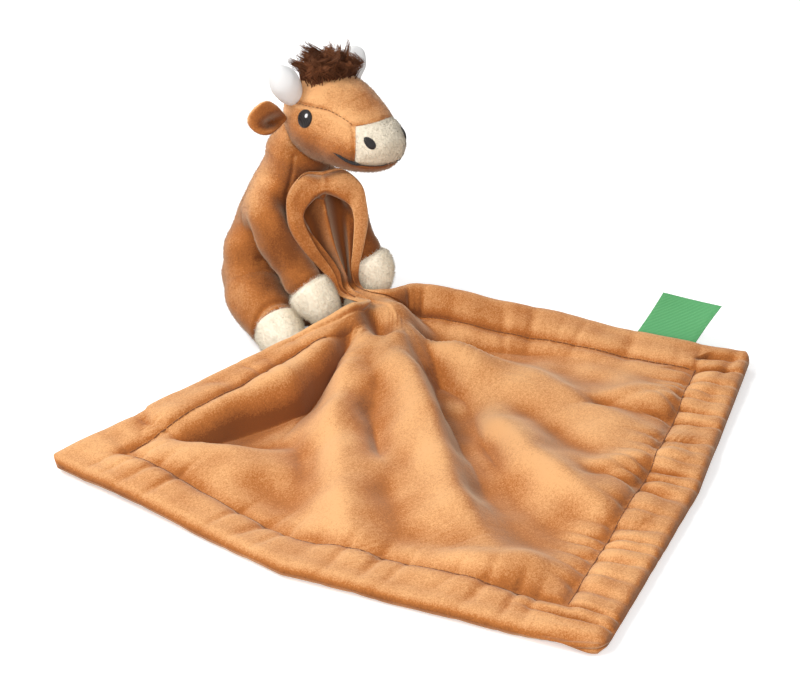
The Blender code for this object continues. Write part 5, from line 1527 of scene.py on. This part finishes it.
def horn_skin(side, word):
    base = head_point(HORN_FORWARD, side * HORN_SIDE - HORN_SHIFT, HORN_RISE)
    out = HEAD_UP * math.cos(HORN_SPLAY) + HEAD_LEFT * (side * math.sin(HORN_SPLAY))
    bend = HEAD_UP * (HORN_LENGTH * HORN_BEND_SHARE)
    path = [base + out * (HORN_LENGTH * s) + bend * s**2 for s in HORN_PATH_SHARES]
    radii = [HORN_RADIUS * s for s in HORN_SHARES]
    form = stuffed_grid(path, radii, radii, FACING, 70, 64, 2.4)
    height = 0.06 * MM * soft_noise(form["points"], 0.006, 95 + side)
    mesh = form_mesh(f"horn_{word}_felt", lifted(form, height))
    piece = piece_from(mesh.name, mesh, "head", felt, [f"horn_{word}"])


ears = [ear_skin(side, word) for side, word in ((-1, "right"), (1, "left"))]
for side, word in ((-1, "right"), (1, "left")):
    horn_skin(side, word)

# %% Hair
TUFT_HALF_WIDTH = 0.0145
TUFT_HALF_LENGTH = 0.0095
TUFT_HEIGHT = 0.0190
TUFT_FORWARD = -0.0120
LOCKS = 84
STRANDS_PER_LOCK = 26
STRAND_RADIUS = 0.00024
STRAND_STEPS = 12


def hair_tuft():
    """Locks of strands: a strand keeps its place in the lock at the root and meets the others at the tip."""
    random = np.random.default_rng(101)
    spot = random.uniform(-1, 1, (6 * LOCKS, 2))
    spot = spot[(spot**2).sum(1) < 1][:LOCKS]
    locks = len(spot)
    lean = spot * (0.30, 0.30) + random.normal(scale=0.24, size=(locks, 2))
    phase = random.uniform(0, 2 * np.pi, (locks, 2))
    tall = (1 - 0.30 * (spot**2).sum(1)) * random.uniform(0.82, 1.06, locks)
    lock = np.repeat(np.arange(locks), STRANDS_PER_LOCK)
    count = len(lock)
    offset = random.normal(scale=0.5, size=(count, 2))
    across = spot[lock, 0] * TUFT_HALF_WIDTH * 0.86
    ahead = TUFT_FORWARD + 0.0020 + spot[lock, 1] * TUFT_HALF_LENGTH * 1.05
    step = np.linspace(0, 1, STRAND_STEPS)[None, :]
    length = (TUFT_HEIGHT * 0.82 * tall[lock] * random.uniform(0.72, 1.05, count))[:, None]
    bunch = 0.0022 * (1 - 0.50 * step**3)
    swing = 0.22 * step * (1 - 0.2 * step)
    left = across[:, None] + offset[:, :1] * bunch
    left = left + length * (lean[lock][:, :1] * step**1.5 + swing * np.sin(7.5 * step + phase[lock][:, :1]))
    front = ahead[:, None] + offset[:, 1:] * bunch
    front = front + length * (lean[lock][:, 1:] * step**1.5 + swing * np.sin(7.5 * step + phase[lock][:, 1:]))
    wide, high, drop = surface_size(front[:, 0])
    rise = high * np.sqrt(np.clip(1 - (left[:, 0] / wide) ** 2, 0, 1)) - drop - 0.0008
    up = rise[:, None] + length * (step - 0.16 * step**2)
    line = head_point(front, left, up)
    run = unit(np.gradient(line, axis=1))
    side = unit(np.cross(run, FACING))
    over = np.cross(run, side)
    size = STRAND_RADIUS * (1 - 0.8 * step**2)[..., None] * random.uniform(0.8, 1.4, (count, 1, 1))
    points = (line[:, :, None] + size[:, :, None] * ring(side, over, 3)).reshape(count, -1, 3)
    quads, index, _ = tube_faces(STRAND_STEPS, 3)
    caps = np.array([index[0][::-1], index[-1]])
    quads, caps = outward(points[0], quads, caps)
    move = 3 * STRAND_STEPS * np.arange(count)[:, None, None]
    mesh = mesh_of("hair_tuft_strands", points.reshape(-1, 3), (quads[None] + move).reshape(-1, 4),
                   (caps[None] + move).reshape(-1, 3))
    tone = random.uniform(0.1, 0.8, locks)[lock] + random.uniform(-0.15, 0.3, count)
    add_values(mesh, "lock", np.repeat(np.clip(tone[:, None] * (0.35 + 0.65 * step), 0, 1), 3, axis=1))
    return piece_from("hair_tuft_strands", mesh, "head", hair, ["hair_tuft"])


tuft = hair_tuft()
print("hair:", len(tuft.data.polygons), "faces")

# %% [markdown]
# ## Face
#
# Eyes, nostrils and mouth are satin stitch: pads of close parallel threads that stand a little
# above the cloth. Each pad is a disc of rings, laid on the head by the formula of its surface.

# %% Embroidered pads
EYE_WIDTH = 0.0076
EYE_HEIGHT = 0.0086
EYE_FORWARD = -0.0030
EYE_RISE = 0.0050
NOSTRIL_WIDTH = 0.0034
NOSTRIL_HEIGHT = 0.0053
NOSTRIL_SPREAD = 0.0116
NOSTRIL_RISE = -0.0006
EMBROIDERY_HEIGHT = 0.0007
PILE_CLEAR = 0.0004


def on_side(forward, up, side):
    """Point on the flank of the head at a place ahead and above."""
    wide, high, drop = surface_size(forward)
    left = side * wide * np.sqrt(np.clip(1 - ((up + drop) / high) ** 2, 0, 1))
    return head_point(forward, left, up)


def on_front(left, up, guesses=14):
    """Point on the blunt front: the reach ahead is found by halving until the section fits."""
    low = np.zeros(np.broadcast(left, up).shape)
    high = np.full(low.shape, HEAD_FRONT)
    for _ in range(guesses):
        middle = (low + high) / 2
        wide, tall, drop = surface_size(np.minimum(middle, HEAD_FRONT - 1e-6))
        inside = (left / wide) ** 2 + ((up + drop) / tall) ** 2 < 1
        low = np.where(inside, middle, low)
        high = np.where(inside, high, middle)
    return head_point((low + high) / 2, left, up)


def pad(name, place, nodes, material, clear=PILE_CLEAR, rings=12, sides=40):
    """Disc of rings whose height over the surface is the dome (1 - r^2)^(1/2), closed below."""
    radius = np.linspace(0, 1, rings + 1)[1:]
    angle = 2 * np.pi * np.arange(sides) / sides
    across = radius[:, None] * np.cos(angle)
    rise = radius[:, None] * np.sin(angle)
    dome = np.sqrt(np.clip(1 - radius**2, 0, 1))[:, None] * np.ones(sides)
    surface = place(across, rise)
    centre = place(np.zeros(1), np.zeros(1))[0]
    sheet_normal = unit(np.cross(surface[-1, 1] - surface[-1, 0], surface[-1, 0] - centre))
    away = sheet_normal * np.sign(sheet_normal @ (centre - HEAD_MIDDLE))
    top = surface + away * (clear + EMBROIDERY_HEIGHT * dome)[..., None]
    bottom = surface - away * MM
    grid = np.concatenate([top, bottom[::-1]])
    first = centre + away * (clear + EMBROIDERY_HEIGHT)
    form = {"points": grid, "first": first, "last": centre - away * MM}
    return piece_from(name, form_mesh(name, form), "head", material, nodes)


for side, word in ((-1, "right"), (1, "left")):
    pad(f"eye_{word}_satin", lambda a, b, s=side: on_side(
        EYE_FORWARD + a * EYE_WIDTH / 2, EYE_RISE + b * EYE_HEIGHT / 2, s), [f"eye_{word}"], embroidery)
    pad(f"eye_{word}_highlight", lambda a, b, s=side: on_side(
        EYE_FORWARD + 0.0011 + a * 0.0009, EYE_RISE + 0.0016 + b * 0.0012, s), [], highlight, 0.0006)
    pad(f"nostril_{word}_satin", lambda a, b, s=side: on_front(
        s * NOSTRIL_SPREAD + a * NOSTRIL_WIDTH / 2, NOSTRIL_RISE + b * NOSTRIL_HEIGHT / 2),
        [f"nostril_{word}"], embroidery)

# %% Mouth
MOUTH_LINE = ((0.0132, -0.0080), (0.0146, -0.0085), (0.0165, -0.0092), (0.0196, -0.0107), (0.0227, -0.0117),
              (0.0262, -0.0121), (0.0300, -0.0120), (0.0335, -0.0118))
MOUTH_HALF_THICKNESS = 0.00080


def mouth_line(steps=161):
    """From one cheek round the muzzle to the other: the rise is read from a table by the reach ahead."""
    table = np.asarray(MOUTH_LINE)
    place = np.linspace(-1, 1, steps)
    bend = np.abs(place) ** 1.8
    flank = table[0, 0] + (table[-1, 0] - table[0, 0]) * (1 - bend)
    rise = np.interp(flank, table[:, 0], table[:, 1])
    wide, high, drop = surface_size(flank)
    reach = wide * np.sqrt(np.clip(1 - ((rise + drop) / high) ** 2, 0, 1))
    return head_point(flank, np.sign(place) * reach, rise)


def tube(name, line, radius, body, material, nodes, sides=10):
    """Round tube along a line, with a radius for each point."""
    run = unit(np.gradient(line, axis=0))
    side = unit(np.cross(run, HEAD_UP))
    over = np.cross(side, run)
    grid = line[:, None] + radius[:, None, None] * ring(side, over, sides)
    form = {"points": grid, "first": line[0], "last": line[-1]}
    return piece_from(name, form_mesh(name, form), body, material, nodes)


mouth = mouth_line()
end_share = 1 - np.abs(np.linspace(-1, 1, len(mouth)))
thickness = MOUTH_HALF_THICKNESS * (0.40 + 0.60 * ease(end_share / 0.10))
thickness = thickness * (1 - 0.7 * ease((end_share - 0.34) / 0.1))
tube("mouth_satin", mouth, thickness, "head", embroidery, ["mouth_stitch"])

# %% Stitches on the cheek seam
starts = np.arange(-0.0160, 0.0195, 0.0019)
for side, word in ((-1, "right"), (1, "left")):
    ends = [on_side(f, cheek_rise(f), side) + HEAD_LEFT * (side * 0.0003) for f in (starts, starts + 0.0010)]
    stitches(f"cheek_seam_{word}_thread", *ends, thread, "head", 0.00020)

# %% [markdown]
# ## Label and tacks
#
# A folded ribbon is caught in the seam of the back edge. It is bare, bends a little and has woven
# edges. Short tacks of thread hold the hands to the gathered cloth.

# %% Label
LABEL_WIDTH = 0.030
LABEL_HEIGHT = 0.024
LABEL_THICKNESS = 0.0010
LABEL_LEAN = math.radians(38.0)
LABEL_TOP_OFFSET = 0.0100
LABEL_TOP_DROP = 0.0020
label_joint = next(j for j in frame["joints"] if j["name"] == "label_flap")
LABEL_BASE = np.array(label_joint["pos_m"])
LABEL_AHEAD = unit(np.array(label_joint["axis"], float))


def label_mesh():
    """A slab that leans back, waves by 1.2 mm sin(pi v) u and cups by 1.0 mm u^2 v."""
    outward_way = np.array([-LABEL_AHEAD[1], LABEL_AHEAD[0], 0.0])
    rise = outward_way * math.sin(LABEL_LEAN) + np.array([0.0, 0.0, math.cos(LABEL_LEAN)])
    face = np.cross(LABEL_AHEAD, rise)
    u, v = np.meshgrid(np.linspace(-1, 1, 60), np.linspace(-0.09, 1, 50), indexing="ij")
    top_drop = LABEL_TOP_DROP * (0.5 + 0.5 * u) * v
    place = (
        LABEL_BASE
        + (u * LABEL_WIDTH / 2 + LABEL_TOP_OFFSET * v)[..., None] * LABEL_AHEAD
        + (v * LABEL_HEIGHT - top_drop)[..., None] * rise
        + (0.0012 * np.sin(np.pi * v) * u + 0.0010 * (u**2) * v)[..., None] * face
    )
    half = LABEL_THICKNESS / 2 * np.clip((1 - np.abs(u) ** 30), 0.3, 1)
    half = half * np.clip(1.15 - np.exp(-(((np.abs(u) - 0.93) / 0.03) ** 2)), 0.5, 1)
    return slab_mesh("label_ribbon", place + face * half[..., None], place - face * half[..., None],
                     u * LABEL_WIDTH / 2, v * LABEL_HEIGHT)


label = piece_from("label_ribbon", label_mesh(), "label", ribbon, ["label"])

# %% Tacks and the stuffing inside
for word in ("right", "left"):
    low, high = (np.array(p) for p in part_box(f"hand_tack_{word}"))
    middle = (low + high) / 2
    offsets = np.array([[0, -0.7, -0.5], [0, 0.0, 0.6], [0, 0.7, -0.4]]) * MM
    reach = np.array([(high[0] - low[0]) / 2 - THREAD_RADIUS, 0, 0])
    start = middle + offsets - reach
    end = middle + offsets[::-1] + reach
    tack = stitches(f"hand_tack_{word}_thread", start, end, thread, ROOT)
    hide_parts(f"hand_tack_{word}")
for name, node in frame["nodes"].items():
    if name.endswith("_filling"):
        node.data.materials.clear()
        node.data.materials.append(stuffing)

# %% [markdown]
# ## Fibres
#
# The fibres come last, because they grow on the finished skins.

# %% Pile on every skin
VELOUR_PILE = {"per_area": 2.4e6, "length": 0.0010, "width": 0.00013, "lean": (0.0, -0.15, -0.75),
               "spread": 0.5, "tilt": 0.35, "depth": 0.10}
FLEECE_PILE = {"per_area": 6.0e6, "length": 0.0018, "width": 0.00020, "lean": (0.0, 0.0, -0.3),
               "spread": 0.9, "tilt": 0.6, "depth": 0.20}
for seed, skin in enumerate((torso_skin, head_skin, leg_right, leg_left, *ears)):
    fibres(skin, 200 + seed, velour, **VELOUR_PILE)
fibres(muzzle_skin, 300, sherpa, **{**FLEECE_PILE, "length": 0.0009})
for seed, skin in enumerate((hand_right, hand_left, hoof_right, hoof_left)):
    fibres(skin, 301 + seed, fleece, **FLEECE_PILE)

# %% [markdown]
# ## Stage, light and camera
#
# A pale floor and large soft lamps, so that a colour renders about as it is written. The camera
# stands where the photograph was taken from: 40 degrees to the right of the calf, 28 degrees up.

# %% Floor and lamps
FLOOR_GLOW = 0.40
SKY_LIGHT = 0.36
LAMP_TARGET = (0, -0.1, 0.03)


def floor_material():
    material, shader, nodes, link = new_material("white floor", 1.0, 0.0)
    shader.inputs["Base Color"].default_value = (0.85, 0.85, 0.85, 1)
    shader.inputs["Emission Color"].default_value = (1, 1, 1, 1)
    path = nodes.new("ShaderNodeLightPath")
    strength = nodes.new("ShaderNodeMath")
    strength.operation = "MULTIPLY"
    strength.inputs[1].default_value = FLOOR_GLOW
    link(path.outputs["Is Camera Ray"], strength.inputs[0])
    link(strength.outputs[0], shader.inputs["Emission Strength"])
    return material


def stage_plane(name, size, height, material):
    mesh = bpy.data.meshes.new(name)
    corners = [(-size, -size, height), (size, -size, height), (size, size, height), (-size, size, height)]
    mesh.from_pydata(corners, [], [(0, 1, 2, 3)])
    mesh.materials.append(material)
    plane = bpy.data.objects.new(name, mesh)
    bpy.context.scene.collection.objects.link(plane)


def soft_lamp(name, place, size, power, colour):
    data = bpy.data.lights.new(name, "AREA")
    data.shape = "DISK"
    data.size = size
    data.energy = power
    data.color = colour
    lamp = bpy.data.objects.new(name, data)
    lamp.location = place
    lamp.rotation_euler = (Vector(LAMP_TARGET) - Vector(place)).to_track_quat("-Z", "Y").to_euler()
    bpy.context.scene.collection.objects.link(lamp)


stage_plane("floor", 6.0, -0.0002, floor_material())
soft_lamp("key lamp", (-0.80, 0.05, 1.05), 0.50, 9.0, (1.0, 0.98, 0.95))
soft_lamp("back lamp", (0.10, 0.95, 0.90), 0.70, 7.0, WHITE)
soft_lamp("fill lamp", (-0.75, -1.15, 0.75), 0.80, 10.0, WHITE)
world = bpy.data.worlds.new("studio")
world.use_nodes = True
bpy.context.scene.world = world
background = world.node_tree.nodes["Background"]
background.inputs["Color"].default_value = (1, 1, 1, 1)
path = world.node_tree.nodes.new("ShaderNodeLightPath")
brighter = world.node_tree.nodes.new("ShaderNodeMapRange")
brighter.inputs["To Min"].default_value = SKY_LIGHT
brighter.inputs["To Max"].default_value = 1.0
world.node_tree.links.new(path.outputs["Is Camera Ray"], brighter.inputs["Value"])
world.node_tree.links.new(brighter.outputs["Result"], background.inputs["Strength"])

# %% Camera
CAMERA_TURN = math.radians(-40.0)
CAMERA_RISE = math.radians(28.0)
CAMERA_PLACE = (-0.6332, -0.8413, 0.5359)
FOCAL_PIXELS = 2310.0
IMAGE_WIDTH = 800

ahead = Vector((
    -math.sin(CAMERA_TURN) * math.cos(CAMERA_RISE),
    math.cos(CAMERA_TURN) * math.cos(CAMERA_RISE),
    -math.sin(CAMERA_RISE),
))
right = ahead.cross(Vector((0, 0, 1))).normalized()
above = right.cross(ahead)
camera_data = bpy.data.cameras.new("camera")
camera_data.sensor_fit = "HORIZONTAL"
camera_data.sensor_width = 36.0
camera_data.lens = FOCAL_PIXELS / IMAGE_WIDTH * camera_data.sensor_width
camera_data.clip_start = 0.01
camera = bpy.data.objects.new("camera", camera_data)
camera.matrix_world = Matrix.Translation(CAMERA_PLACE) @ Matrix((right, above, -ahead)).transposed().to_4x4()
bpy.context.scene.collection.objects.link(camera)
bpy.context.scene.camera = camera
bpy.context.scene.view_settings.view_transform = "Standard"
